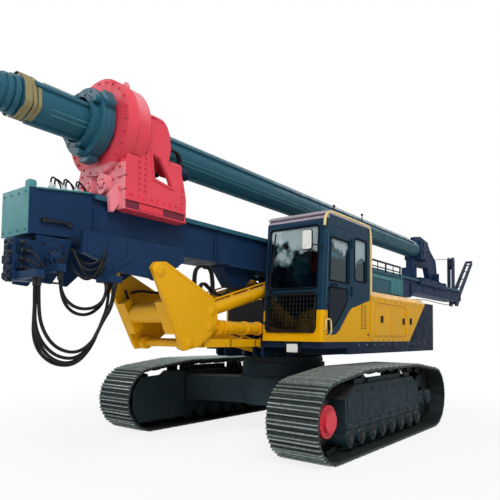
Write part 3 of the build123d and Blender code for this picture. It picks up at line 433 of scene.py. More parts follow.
def sprayed_steel(name, colour, gloss=0.32, dust=0.35, chips=0.35, sheen=0.3, second=None, mask=None,
                  brow=None):
    """Plate sprayed with two-pack enamel: faint waves, dust on what faces up, stains and chips to dark steel.
    Where mask, worked out from Object coordinates, is 1, the second colour is on; brow is a height above
    which, and a reach ahead of which, the colour is a third one."""
    material, tree, shader, place = started(name, IOR=1.5, Specular_IOR_Level=sheen)
    paint = linear(colour)
    faded = tuple(1.18 * c + 0.004 for c in paint[:3]) + (1.0,)
    patches = noise(tree, place, 1.4, 5.0, Roughness=0.62)
    tone = mixed(tree, stepped(tree, patches, 0.42, 0.75, 0.0, 0.55), paint, faded)
    if brow:
        level, reach, brow_colour = brow
        part = parted(tree, place)
        sloped = times(tree, above(tree, part["Z"], level), below(tree, part["Y"], reach))
        tone = mixed(tree, sloped, tone, linear(brow_colour))
    if mask:
        tone = mixed(tree, mask(tree, place), tone, linear(second))
    grime = noise(tree, place, 6.5, 8.0, Roughness=0.7)
    facing = parted(tree, add(tree, "NewGeometry").outputs["Normal"])["Z"]
    settled = times(tree, stepped(tree, facing, 0.35, 0.95), stepped(tree, grime, 0.38, 0.66, 0.25, 1.0))
    tone = mixed(tree, times(tree, settled, dust), tone, linear(ROAD_DUST))
    tone = mixed(tree, stepped(tree, grime, 0.6, 0.78, 0.0, 0.38), tone, shaded(paint, 0.35))
    flecks = noise(tree, place, 38.0, 4.0, Roughness=0.75)
    tone = mixed(tree, stepped(tree, flecks, 0.7, 0.74, 0.0, chips), tone, linear(CHIPPED_STEEL))
    roughness = stepped(tree, grime, 0.3, 0.75, gloss, gloss + 0.28)
    soft_edges = add(tree, "Bevel", {"Radius": 0.006}, samples=4).outputs["Normal"]
    dressed(tree, shader, tone, roughness, noise(tree, place, 5.0, 2.0), 0.12, 0.01, Normal=soft_edges)
    return material


def cab_yellow(tree, place):
    """1 on the cab's yellow: its side below a rising curve, strip and corners round the lower front pane."""
    part = parted(tree, place)
    curve = stepped(tree, part["Y"], -0.955, -0.35, 1.525, 1.925)
    ramp = add(tree, "MapRange", {"Value": part["Y"], "From Min": -0.35, "From Max": 0.21, "To Max": 0.14})
    rise = calculated(tree, "ADD", curve, ramp.outputs["Result"])
    low = times(tree, below(tree, part["Z"], rise), above(tree, part["X"], 1.38))
    side = times(tree, low, above(tree, part["Y"], CAB_CORNER))
    strip = below(tree, part["Z"], 1.545)
    off_middle = calculated(tree, "ABSOLUTE", calculated(tree, "SUBTRACT", part["X"], 0.945))
    corner = times(tree, above(tree, off_middle, 0.392), below(tree, part["Z"], 1.85))
    ahead = below(tree, part["Y"], CAB_CORNER)
    return calculated(tree, "MAXIMUM", side, times(tree, calculated(tree, "MAXIMUM", strip, corner), ahead))


def head_painted_highlight(tree, place):
    """1 where a highlight is painted on the rotary head: its lower front plates and the drum's rim behind its
    ring, the rim's highlight growing toward its top.
    """
    part = parted(tree, place)
    front = times(tree, below(tree, part["Y"], -3.672), below(tree, part["Z"], 3.36))
    drum = times(tree, above(tree, part["Y"], -3.598), below(tree, part["Y"], -3.43))
    # painted highlight on the drum's rim, stronger the higher it lies
    high = stepped(tree, part["Z"], 3.75, 4.15, 0.0, 0.85)
    return calculated(tree, "MAXIMUM", times(tree, front, 0.8), times(tree, drum, high))


def rolled_steel(name, dark, bright):
    """Bare rolled or cast steel run in soil: dark scale, brighter worn places, a little brown rust."""
    material, tree, shader, place = started(name, Metallic=0.75)
    fine = noise(tree, place, 22.0, 8.0, Roughness=0.7)
    broad = noise(tree, place, 3.0, 5.0, Roughness=0.6)
    tone = mixed(tree, stepped(tree, fine, 0.35, 0.72), linear(dark), linear(bright))
    tone = mixed(tree, stepped(tree, broad, 0.5, 0.7, 0.0, 0.3), tone, linear(BROWN_RUST))
    dressed(tree, shader, tone, stepped(tree, fine, 0.3, 0.8, 0.35, 0.7), fine, 0.25, 0.004)
    return material


def shoe_steel():
    """Rolled track shoes: the attribute wear is 1 at the ground bars' rims, where soil keeps them bright."""
    material, tree, shader, place = started("rolled_shoe_steel", Metallic=0.6)
    fine = noise(tree, place, 26.0, 8.0, Roughness=0.7)
    wear = add(tree, "Attribute", attribute_name="wear").outputs["Fac"]
    rubbed = times(tree, wear, stepped(tree, fine, 0.3, 0.6, 0.45, 1.0))
    soil = stepped(tree, fine, 0.5, 0.72, 0.0, 0.55)
    tone = mixed(tree, rubbed, mixed(tree, soil, linear(SHOE_DARK), linear(DRY_SOIL)), linear(SHOE_WORN))
    dressed(tree, shader, tone, stepped(tree, rubbed, 0.0, 1.0, 0.68, 0.36), fine, 0.3, 0.004)
    return material


def plain_finish(name, colour, roughness, metallic=0.0, grain=60.0, spread=0.12, strength=0.15, sheen=0.5):
    """Moulded rubber, plastic or plated steel: one colour, a fine grain in its roughness and relief."""
    material, tree, shader, place = started(name, Metallic=metallic, Specular_IOR_Level=sheen)
    fine = noise(tree, place, grain, 5.0)
    base = linear(colour)
    tone = mixed(tree, fine, shaded(base, 0.8), shaded(base, 1.15))
    roughness = stepped(tree, fine, 0.3, 0.7, roughness, roughness + spread)
    dressed(tree, shader, tone, roughness, fine, strength, 0.002)
    return material


def cab_pane():
    """Tinted safety glass with a thin haze of dust, and a pale painted reflection of the sky with a ragged
    edge along its top.
    """
    material, tree, shader, place = started("tinted_safety_glass", IOR=1.5)
    haze = noise(tree, place, 5.0, 5.0)
    ragged = stepped(tree, noise(tree, place, 2.6, 3.0), 0.3, 0.7, -0.22, 0.22)
    height = calculated(tree, "ADD", parted(tree, place)["Z"], ragged)
    # painted reflection: the glass turns pale and less clear above about 2.7 m, its edge ragged
    sky_reflection = stepped(tree, height, 2.62, 2.78, 0.0, 0.62)
    tree.links.new(calculated(tree, "SUBTRACT", 1.0, sky_reflection), shader.inputs["Transmission Weight"])
    tinted = mixed(tree, haze, linear("#5f8c96"), linear("#76a2aa"))
    tree.links.new(mixed(tree, sky_reflection, tinted, linear("#dfeef2")), shader.inputs["Base Color"])
    tree.links.new(stepped(tree, haze, 0.4, 0.7, 0.02, 0.09), shader.inputs["Roughness"])
    return material


paint_yellow = sprayed_steel("yellow_enamel", YELLOW, dust=0.3)
# the pale pink second colour is a painted highlight on the rotary head's front plates and drum
paint_coral = sprayed_steel("coral_enamel", CORAL, gloss=0.36, dust=0.2, second="#e8919c", mask=head_painted_highlight)
paint_navy = sprayed_steel("navy_enamel", NAVY, dust=0.25, sheen=0.14)
paint_teal = sprayed_steel("teal_enamel", TEAL, dust=0.35)
paint_pale_teal = sprayed_steel("pale_teal_enamel", PALE_TEAL)
paint_dark_navy = sprayed_steel("dark_navy_enamel", DARK_NAVY, dust=0.2, sheen=0.1)
paint_cab = sprayed_steel("cab_teal_enamel", CAB_TEAL, dust=0.1, sheen=0.16, second=YELLOW,
                          mask=cab_yellow, brow=(3.1, -1.088, ROOF_GREY))
paint_frame = sprayed_steel("frame_grey_enamel", FRAME_GREY, gloss=0.5, dust=0.55, chips=0.6, sheen=0.2)
paint_roof = sprayed_steel("roof_grey_enamel", ROOF_GREY, gloss=0.45, dust=0.4)
paint_pale_yellow = sprayed_steel("pale_yellow_enamel", PALE_YELLOW, dust=0.2)
paint_red = sprayed_steel("drive_red_enamel", DRIVE_RED, dust=0.3, chips=0.5)
paint_dark_red = sprayed_steel("shaded_coral_enamel", "#6e2436", dust=0.3, chips=0.5)
steel_dark = rolled_steel("dark_cast_steel", "#1f2224", "#44484a")
steel_shoe = shoe_steel()
steel_chrome = plain_finish("chromed_rod", "#c9ccd0", 0.08, metallic=1.0, grain=90.0, strength=0.02)
steel_rope = plain_finish("wire_rope_steel", "#6d6a64", 0.45, metallic=0.7, grain=150.0)
rubber_hose = plain_finish("hose_rubber", RUBBER, 0.42, sheen=0.25)
black_plastic = plain_finish("moulded_black_plastic", "#15171a", 0.45, sheen=0.2)
rubber_seal = plain_finish("window_seal_rubber", "#0a1016", 0.7, sheen=0.08)
steel_zinc = plain_finish("zinc_plated_steel", "#8d9196", 0.35, metallic=0.8, grain=120.0)
steel_white = plain_finish("white_union_caps", "#c9d2d4", 0.4, grain=80.0)
# pale: the lamp's ribbed lens, and the mirror's glass, where the pale is a painted reflection of the sky
lens_and_mirror_reflection = plain_finish("lamp_lens_and_painted_mirror_reflection", "#e6ebe8", 0.12, grain=30.0)
lens_red = plain_finish("red_lamp_lens", "#8e1417", 0.2, grain=30.0)
glass_dark = plain_finish("dark_tinted_pane", "#0a1a28", 0.25, grain=4.0, spread=0.1, strength=0.02,
                          sheen=0.15)
webbing = plain_finish("khaki_webbing", "#8a8058", 0.85, grain=300.0)
seat_cloth = plain_finish("woven_seat_cloth", "#24262b", 0.85, grain=240.0)
glass_pane = cab_pane()

NODE_FINISHES = {
    paint_frame: ["carbody", "track_frame_left", "track_frame_right"],
    steel_dark: ["track_left", "track_right", "track_wheels_left", "track_wheels_right", "slew_ring",
                 "engine", "crowd_drum", "winch_drum", "lower_sheave", "upper_sheave"],
    paint_red: ["final_drive_left", "final_drive_right"],
    paint_dark_navy: ["deck", "counterweight", "handrail_left", "handrail_right"],
    paint_yellow: ["house_left", "house_right", "service_door_left", "service_door_right", "lower_link",
                   "upper_link", "triangle", "luff_barrel", "mast_barrel_left", "mast_barrel_right"],
    paint_teal: ["drive_sleeve", "kelly_outer", "kelly_middle", "kelly_inner", "hood_left", "hood_right"],
    paint_cab: ["cab_frame", "cab_door"],
    paint_roof: ["cab_roof"],
    rubber_hose: ["hose_long", "hose_second", "hose_short"],
    glass_pane: ["cab_glass", "cab_door_glass"],
    seat_cloth: ["cab_seat"],
    steel_chrome: ["luff_rod", "mast_rod_left", "mast_rod_right"],
    paint_navy: ["mast_front", "mast_middle", "mast_rear", "mast_bracket", "mast_lugs", "crowd_frame",
                 "winch_frame", "mast_head", "kelly_guide"],
    paint_coral: ["head_carriage", "head_gearbox"],
}
for finish, names in NODE_FINISHES.items():
    for node_name in names:
        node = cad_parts[node_name]
        node.data.materials.clear()
        node.data.materials.append(finish)


# Camera, floor and light


def set_camera():
    """Camera at the photograph's place, turned by yaw, pitch and roll, its centre on the principal row."""
    cy, sy = np.cos(CAMERA_YAW), np.sin(CAMERA_YAW)
    cp, sp = np.cos(CAMERA_PITCH), np.sin(CAMERA_PITCH)
    ahead = np.array((-sy * cp, cy * cp, sp))
    right = np.array((cy, sy, 0))
    up = np.cross(right, ahead)
    cr, sr = np.cos(CAMERA_ROLL), np.sin(CAMERA_ROLL)
    rolled_right, rolled_up = cr * right + sr * up, cr * up - sr * right
    data = bpy.data.cameras.new("camera")
    camera = bpy.data.objects.new("camera", data)
    bpy.context.collection.objects.link(camera)
    turn = Matrix(np.stack([rolled_right, rolled_up, -ahead], 1).tolist()).to_4x4()
    camera.matrix_world = Matrix.Translation(CAMERA_PLACE) @ turn
    data.sensor_width = SENSOR_MM
    data.lens = FOCAL_PIXELS / PHOTO_SIZE * SENSOR_MM
    data.shift_y = (PRINCIPAL_ROW - PHOTO_SIZE / 2) / PHOTO_SIZE
    data.clip_end = CLIP_END
    bpy.context.scene.camera = camera


FLOOR_RADIUS = 60.0
FLOOR_SIDES = 64
# Where the floor's own colour fades to white, in metres from the rig
FADE = (3.0, 8.0)


def make_stage():
    """Pale floor that turns to plain white for the camera away from the rig, and a white world."""
    angle = np.linspace(0, 2 * np.pi, FLOOR_SIDES, endpoint=False)
    edge = np.stack([FLOOR_RADIUS * np.cos(angle), FLOOR_RADIUS * np.sin(angle), 0 * angle], 1)
    mesh = bpy.data.meshes.new("floor")
    mesh.from_pydata(edge.tolist(), [], [list(range(FLOOR_SIDES))])
    floor = bpy.data.objects.new("floor", mesh)
    bpy.context.collection.objects.link(floor)
    material, tree, shader, place = started("pale_floor", Base_Color=linear("#e9e9e8"), Roughness=0.9)
    away = add(tree, "VectorMath", {0: place}, operation="LENGTH").outputs["Value"]
    seen = add(tree, "LightPath").outputs["Is Camera Ray"]
    share = times(tree, stepped(tree, away, *FADE, 0.84, 1.0), seen)
    white = add(tree, "Emission", {"Color": (1, 1, 1, 1), "Strength": 1.0}).outputs[0]
    both = add(tree, "MixShader", {0: share, 1: shader.outputs[0], 2: white}).outputs[0]
    tree.links.new(both, tree.nodes["Material Output"].inputs["Surface"])
    mesh.materials.append(material)

    world = bpy.data.worlds.new("soft_studio")
    bpy.context.scene.world = world
    world.use_nodes = True
    sky = world.node_tree
    background = sky.nodes["Background"]
    background.inputs["Color"].default_value = (1, 1, 1, 1)
    seen = add(sky, "LightPath").outputs
    looks = calculated(sky, "MAXIMUM", seen["Is Camera Ray"], seen["Is Transmission Ray"])
    strength = add(sky, "MapRange",
                   {"Value": looks, "To Min": WORLD_LEVEL, "To Max": 1.0}).outputs["Result"]
    sky.links.new(strength, background.inputs["Strength"])


WORLD_LEVEL = 0.42
LAMP_WIDTH = 8.0
# name, place, aim, watts
LAMPS = [
    ("key_panel", (9.0, -10.0, 12.0), (0, 0, 1.5), 1500),
    ("left_panel", (-9.0, -9.0, 9.0), (0, -2, 2), 500),
    ("rear_panel", (2.0, 14.0, 11.0), (0, 3, 2), 500),
]


def make_lamps():
    """Large soft panels round the rig."""
    for name, place, aim, watts in LAMPS:
        data = bpy.data.lights.new(name, "AREA")
        data.shape = "SQUARE"
        data.size = LAMP_WIDTH
        data.energy = watts
        lamp = bpy.data.objects.new(name, data)
        bpy.context.collection.objects.link(lamp)
        lamp.location = place
        lamp.rotation_euler = (Vector(aim) - Vector(place)).to_track_quat("-Z", "Y").to_euler()


set_camera()
make_stage()
make_lamps()
bpy.context.scene.view_settings.view_transform = "Standard"


# Tracks


def track_run(inset, count):
    """Places along the track's closed path, inset from the bars' tips: flat run, wheel arcs, raised run."""
    radius, raised = AXLE_HEIGHT - inset, TRACK_TOP - inset
    run = np.array((RAISED_RUN_HALF - WHEEL_PLACE, raised - AXLE_HEIGHT))
    lift = np.arctan2(run[1], run[0]) - np.arccos(radius / np.hypot(*run))
    arc = np.linspace(-np.pi / 2, lift, 40)
    front = np.stack([WHEEL_PLACE + radius * np.cos(arc), AXLE_HEIGHT + radius * np.sin(arc)], 1)
    rear = front[::-1] * (-1, 1)
    line = np.concatenate([front, [(RAISED_RUN_HALF, raised), (-RAISED_RUN_HALF, raised)], rear, front[:1]])
    reach = np.concatenate([[0], np.cumsum(np.linalg.norm(np.diff(line, axis=0), axis=1))])
    wanted = np.linspace(0, reach[-1], count + 1)
    return np.stack([np.interp(wanted, reach, line[:, i]) for i in (0, 1)], 1)


# share of the pitch, height of the plate's outer face from the tips, wear
SHOE_SECTION = np.array([
    (-0.04, 0.05, 0.0), (-0.03, 0.03, 0.2), (0.07, 0.028, 0.1), (0.105, 0.002, 1.0), (0.15, 0.0, 1.0),
    (0.185, 0.026, 0.1), (0.44, 0.028, 0.0), (0.47, 0.002, 1.0), (0.53, 0.002, 1.0), (0.56, 0.028, 0.0),
    (0.815, 0.026, 0.1), (0.85, 0.0, 1.0), (0.895, 0.002, 1.0), (0.93, 0.028, 0.1), (0.945, 0.04, 0.1),
    (0.945, 0.052, 0.0),
])
SHOE_CORNER = 0.018
SHOE_END_SHRINK = 0.93


def make_track(side, sign):
    """Shoes: one section per pitch carried across the track, its ends drawn in toward the corners."""
    start = track_run(0.0, SHOE_COUNT)
    chord = start[1:] - start[:-1]
    start = start[:-1]
    inward = np.stack([-chord[:, 1], chord[:, 0]], 1)
    inward /= np.linalg.norm(inward, axis=1, keepdims=True)
    share, depth, wear = SHOE_SECTION.T
    half = SHOE_WIDTH / 2
    levels = np.array((-half, SHOE_CORNER - half, half - SHOE_CORNER, half))
    outer = start[:, None] + chord[:, None] * share[None, :, None] + inward[:, None] * depth[None, :, None]
    centre = start[:, None] + chord[:, None] * 0.5 + inward[:, None] * 0.04
    shrink = np.array((SHOE_END_SHRINK, 1.0, 1.0, SHOE_END_SHRINK))
    shapes, worn = [], []
    for k in range(SHOE_COUNT):
        rings = centre[k][None] + (outer[k][:, None] - centre[k][None]) * shrink[None, :, None]
        x = np.broadcast_to(sign * TRACK_GAUGE / 2 + levels, rings.shape[:2])
        points = np.concatenate([x[..., None], rings], 2)
        shapes.append(grid(points[::-1], capped=True))
        worn.append(np.repeat(wear[::-1], len(levels)))
    made = piece(f"shoes_{side}", shapes, "undercarriage", steel_shoe, smooth=20)
    mark = made.data.attributes.new("wear", "FLOAT", "POINT")
    mark.data.foreach_set("value", np.concatenate(worn))
    return made


def make_links(side, sign):
    """Two rows of waisted link plates on the inner side of the shoes, with the pins between them."""
    inner = track_run(0.085, SHOE_COUNT)
    chord = inner[1:] - inner[:-1]
    middle = (inner[1:] + inner[:-1]) / 2
    inward = np.stack([-chord[:, 1], chord[:, 0]], 1)
    inward /= np.linalg.norm(inward, axis=1, keepdims=True)
    outline = np.array([(-0.6, -0.03), (0.6, -0.03), (0.6, 0.02), (0.3, 0.034), (-0.3, 0.034),
                        (-0.6, 0.02)])
    shapes, middle_x = [], sign * TRACK_GAUGE / 2
    for k in range(SHOE_COUNT):
        flat = middle[k] + chord[k] * outline[:, :1] + inward[k] * outline[:, 1:]
        for low, high in ((-0.115, -0.085), (-0.075, -0.05), (0.05, 0.075), (0.085, 0.115)):
            if (k + (abs(low) > 0.08)) % 2:
                shapes.append(slab(flat, middle_x + low, middle_x + high, bevel=0.003))
        y, z = inner[k]
        shapes.append(bar((middle_x - 0.125, y, z), (middle_x + 0.125, y, z), 0.022, 10))
    made = piece(f"links_{side}", shapes, "undercarriage", steel_dark)
    return made


for side, sign in (("left", 1), ("right", -1)):
    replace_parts(make_track(side, sign), f"track_{side}")
    make_links(side, sign)


# Hoses that hang free in front of the linkage: x, route in (y, z), real length. Three are here alone.

HOSES = {
    "hose_long": (0.52, [(-4.7, 1.995), (-4.7, 1.76), (-4.69, 1.45), (-4.52, 1.25), (-4.285, 1.215),
                          (-4.12, 1.385), (-4.0, 1.6), (-3.85, 1.81), (-3.85, 2.02)], 1.954),
    "hose_second": (0.575, [(-4.7, 1.995), (-4.7, 1.8), (-4.67, 1.56), (-4.53, 1.37), (-4.3, 1.31),
                            (-4.11, 1.44), (-4.01, 1.66), (-3.905, 1.83), (-3.905, 2.02)], 1.737),
    "hose_short": (0.54, [(-4.48, 2.07), (-4.48, 1.89), (-4.33, 1.74), (-4.11, 1.74), (-3.96, 1.86),
                           (-3.96, 2.02)], 0.93),
    "hose_third": (0.4875, [(-4.68, 1.995), (-4.685, 1.74), (-4.69, 1.41), (-4.52, 1.222), (-4.27, 1.192),
                            (-4.085, 1.36), (-3.985, 1.59), (-3.895, 1.8), (-3.895, 2.02)], 1.994),
    "hose_fourth": (0.5475, [(-4.722, 1.995), (-4.722, 1.78), (-4.7, 1.5), (-4.53, 1.3), (-4.285, 1.255),
                             (-4.115, 1.41), (-4.005, 1.62), (-3.87, 1.815), (-3.87, 2.02)], 1.87),
    "hose_fifth": (0.5, [(-4.45, 2.07), (-4.45, 1.86), (-4.32, 1.69), (-4.11, 1.68), (-3.93, 1.85),
                           (-3.93, 2.02)], 1.001),
}
FRAME_HOSES = ("hose_long", "hose_second", "hose_short")
HOSE_RADIUS = 0.016


def make_free_hose(name, x, route):
    """Braided hose: a quadratic spline on the route's own points, ferrules and union nuts at both ends."""
    data = bpy.data.curves.new(name + "_run", "CURVE")
    data.dimensions = "3D"
    data.bevel_depth = HOSE_RADIUS
    data.bevel_resolution = 3
    data.use_fill_caps = True
    data.resolution_u = 8
    line = data.splines.new("NURBS")
    line.points.add(len(route) - 1)
    line.points.foreach_set("co", np.array([(x, y, z, 1.0) for y, z in route]).ravel())
    line.order_u = 3
    line.use_endpoint_u = True
    run = bpy.data.objects.new(name + "_run", data)
    bpy.context.collection.objects.link(run)
    data.materials.append(rubber_hose)
    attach(run, "mast")
    if name in FRAME_HOSES:
        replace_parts(run, name)
    ferrule = [(0, 0.02), (0.012, 0.0235), (0.05, 0.0235), (0.056, 0.019), (0.062, 0.0235), (0.075, 0.021)]
    nut = [(0, 0.03), (0.003, 0.033), (0.022, 0.033), (0.025, 0.029)]
    ends = []
    for y, z in (route[0], route[-1]):
        ends.append(stub(2, (x, y, z + 0.002), z - 0.05, ferrule, 16))
        ends.append(stub(2, (x, y, z + 0.001), z - 0.03, nut, 6))
    piece(name + "_fittings", ends, "mast", steel_dark)


for hose_name, (hose_x, hose_route, hose_length) in HOSES.items():
    make_free_hose(hose_name, hose_x, hose_route)


# Cab


def raked(shape, ahead=0.0):
    """A shape drawn about y = 0, leaned back with the cab's front and set ahead of it."""
    points, faces = shape
    lean = -1.275 + 0.105 * (points[:, 2] - 1.43) / 1.62 - ahead
    return points + np.stack([0 * lean, lean, 0 * lean], 1), faces


def make_cab():
    """Window gaskets, guard mesh, wiper, mirror, roof tube, rails, louvres, lamp, aerials and hinges."""
    seals = [raked(rim(rounded((0.548, 1.545), (1.362, 2.095), 0.07), 0.018, -0.01, 0.012, axis=1)),
             raked(rim(rounded((0.548, 2.135), (1.362, 3.015), 0.06), 0.018, -0.01, 0.012, axis=1)),
             rim(rounded((-0.345, 2.305), (0.075, 2.955), 0.06), 0.02, 1.446, GASKET_FACE),
             rim(rounded((0.548, 2.305), (1.362, 2.955), 0.05), 0.03, 0.2, 0.222, axis=1),
             rim([(-1.07, 1.91), (0.085, 1.91), (0.085, 2.955), (-0.965, 2.955)], 0.03, 0.47, 0.49)]
    piece("cab_seals", seals, "upper", rubber_seal)

    mesh = [raked(bar((x, 0, 1.57), (x, 0, 2.07), 0.003, 6), 0.028) for x in in_row(0.57, 1.34, 15)]
    mesh += [raked(bar((0.56, 0, z), (1.35, 0, z), 0.003, 6), 0.032) for z in in_row(1.585, 2.055, 9)]
    mesh.append(raked(rim(rounded((0.55, 1.56), (1.36, 2.08), 0.06), 0.012, -0.006, 0.006, axis=1), 0.03))
    piece("cab_guard", mesh, "upper", steel_dark)

    dark = [raked(hose([(0.6, 0, 2.12), (0.62, 0, 2.5), (0.66, 0, 2.82)], 0.009, 8), 0.035),
            raked(tube([(0.625, 0, 2.4), (0.64, 0, 2.65), (0.66, 0, 2.95)], 0.011, 6), 0.022),
            raked(bar((0.6, 0.03, 2.12), (0.6, -0.045, 2.12), 0.018, 12, bevel=0.004)),
            hose([(1.43, -1.16, 2.7), (1.44, -1.28, 2.7), (1.39, -1.4, 2.7), (1.33, -1.4, 2.7)], 0.009, 8),
            slab(rounded((1.225, 2.635), (1.385, 2.905), 0.03), -1.412, -1.385, axis=1, bevel=0.006)]
    for x in (0.515, 1.335):
        dark.append(raked(box((x - 0.025, x + 0.025), (-0.03, 0.0), (1.665, 1.695), bevel=0.004)))
    for row in in_row(1.62, 1.96, 12):
        for y in (-0.125, -0.02):
            dark.append(slab([(y, row), (y + 0.07, row + 0.006), (y + 0.07, row + 0.014),
                              (y, row + 0.008)], 1.4595, 1.4635))
    dark.append(slab(rounded((0.895, 1.268), (1.1, 1.41), 0.02), -1.27, -1.2, axis=1, bevel=0.005))
    for x, y, top in ((1.4, -0.855, 3.33), (1.4, 0.03, 3.38)):
        dark.append(bar((x, y, 3.2), (x, y, top), 0.008, 8))
        dark.append(bar((x, y, top - 0.03), (x, y, top), 0.018, 12, bevel=0.005))
    for z in (1.72, 1.92):
        dark.append(bar((CAB_SIDE, -1.16, z), (CAB_SIDE, -1.13, z), 0.014, 10, bevel=0.003))
    dark.append(box((1.459, 1.468), (0.1, 0.135), (1.52, 1.545), bevel=0.002))
    piece("cab_black_trim", dark, "upper", black_plastic)

    edge = hose([(1.452, -1.205, 2.98), (1.452, -1.19, 3.1), (1.446, -1.09, 3.19), (1.45, -0.9, 3.2),
                 (1.45, 0.08, 3.2), (1.455, 0.2, 3.16), (CAB_SIDE, 0.213, 3.0), (CAB_SIDE, 0.213, 2.6),
                 (CAB_SIDE, 0.213, 2.16)], 0.019, 12)
    rail = hose([(CAB_SIDE, -1.235, 1.58), (1.5, -1.245, 1.62), (1.5, -1.24, 1.73), (1.5, -1.12, 1.735),
                 (1.5, -1.1, 1.66), (1.5, -1.095, 1.55), (CAB_SIDE, -1.09, 1.52)], 0.011, 10)
    piece("cab_edge_tube", [edge, rail], "upper", paint_pale_yellow)
    long_rail = hose([(1.455, -1.21, 2.0), (1.495, -1.215, 2.03), (1.495, -1.19, 2.5),
                      (1.49, -1.165, 2.88), (1.45, -1.16, 2.92)], 0.006, 8)
    piece("cab_long_rail", [long_rail], "upper", paint_teal)

    lenses = [slab(rounded((0.91, 1.282), (1.085, 1.395), 0.014), -1.279, -1.268, axis=1, bevel=0.004)]
    # the mirror's glass: pale, a painted reflection of the sky
    lenses.append(slab(rounded((1.235, 2.645), (1.375, 2.895), 0.025), -1.4145, -1.411, axis=1,
                       bevel=0.001))
    piece("cab_lenses", lenses, "upper", lens_and_mirror_reflection)

    ribs = [slab([(y0, 3.213), (y1, 3.213), (y1 - 0.012, 3.224), (y0 + 0.012, 3.224)], 0.56, 1.36,
                 bevel=0.003) for y0, y1 in ((-0.9, -0.84), (-0.5, -0.44), (-0.1, -0.04))]
    hatch = slab(rounded((0.68, -0.4), (1.22, -0.14), 0.05), 3.214, 3.236, axis=2, bevel=0.006)
    piece("cab_roof_ribs", [*ribs, hatch], "upper", paint_roof)


def make_cab_door():
    """Door window gasket, lower pane with its gasket, handle and lock."""
    seal = [rim([(-1.092, 2.248), (-0.498, 2.248), (-0.498, 2.862), (-1.052, 2.862)], 0.02, 1.446,
                GASKET_FACE),
            rim([(-1.12, 1.6), (-0.99, 1.6), (-0.74, 1.8), (-0.56, 2.0), (-0.56, 2.18), (-1.09, 2.18)],
                0.022, 1.459, GASKET_FACE)]
    handle = hose([(1.458, -1.04, 2.205), (1.49, -1.04, 2.205), (1.493, -0.98, 2.205),
                   (1.493, -0.9, 2.205), (1.458, -0.89, 2.205)], 0.009, 8)
    lock = stub(0, (1.458, -1.1, 2.14), 1.472, [(0, 0.022), (0.008, 0.022), (0.012, 0.016)], 14)
    piece("cab_door_trim", [*seal, handle, lock], "cab_door", rubber_seal)
    pane = slab([(-1.1, 1.62), (-1.0, 1.62), (-0.755, 1.815), (-0.58, 2.01), (-0.58, 2.16),
                 (-1.075, 2.16)], 1.4595, 1.4625)
    piece("cab_door_lower_pane", [pane], "cab_door", glass_dark)


def make_cab_inside():
    """Seat with rounded cushions, consoles, levers, pedals, a screen on its post and the harness."""
    seat = []
    for x, y, z in (((0.72, 1.22), (-0.62, -0.12), (1.762, 1.88)),
                    ((0.73, 1.21), (-0.15, -0.04), (1.9, 2.46)),
                    ((0.8, 1.14), (-0.13, -0.05), (2.47, 2.66))):
        seat.append(box(x, y, z, bevel=0.03))
    for x in (0.65, 1.29):
        seat.append(slab([(-0.6, 1.99), (-0.18, 1.99), (-0.18, 2.04), (-0.58, 2.04)], x - 0.05, x + 0.05,
                         bevel=0.015))
    cushions = piece("seat_cushions", seat, "upper", seat_cloth)
    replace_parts(cushions, "cab_seat")
    dark = [box((0.78, 1.16), (-0.52, -0.16), (1.48, 1.76), bevel=0.02),
            box((0.55, 1.38), (-1.16, -1.02), (1.48, 1.53), bevel=0.01)]
    stick = [(0, 0.026), (0.02, 0.03), (0.03, 0.012), (0.11, 0.011), (0.13, 0.022), (0.18, 0.026),
             (0.215, 0.024), (0.225, 0.014)]
    for x in (0.65, 1.29):
        dark.append(slab([(-0.62, 1.48), (-0.16, 1.48), (-0.16, 1.99), (-0.6, 1.99)], x - 0.06, x + 0.06,
                         bevel=0.015))
        dark.append(turned_about((x, -0.54, 2.03), (x + 0.01, -0.58, 2.25), stick, 14))
    for x in (0.83, 0.95, 1.07):
        dark.append(slab([(-1.1, 1.52), (-0.99, 1.52), (-1.01, 1.62), (-1.09, 1.6)], x - 0.04, x + 0.04,
                         bevel=0.006))
        dark.append(hose([(x, -1.05, 1.6), (x, -1.06, 1.75), (x, -1.0, 1.93)], 0.009, 8))
    dark.append(box((0.62, 0.84), (-1.04, -1.0), (2.2, 2.42), bevel=0.012))
    dark.append(bar((0.73, -1.0, 1.5), (0.73, -1.01, 2.22), 0.016, 10))
    for x, low in ((0.86, 1.55), (0.9, 1.6), (0.94, 1.55)):
        dark.append(hose([(x, -1.12, low), (x + 0.03, -1.14, 1.8), (x - 0.02, -1.1, 2.0),
                          (x + 0.01, -1.02, 2.25)], 0.012, 8))
    piece("cab_consoles", dark, "upper", black_plastic)


make_cab()
make_cab_door()
make_cab_inside()


# House, hoods and deck


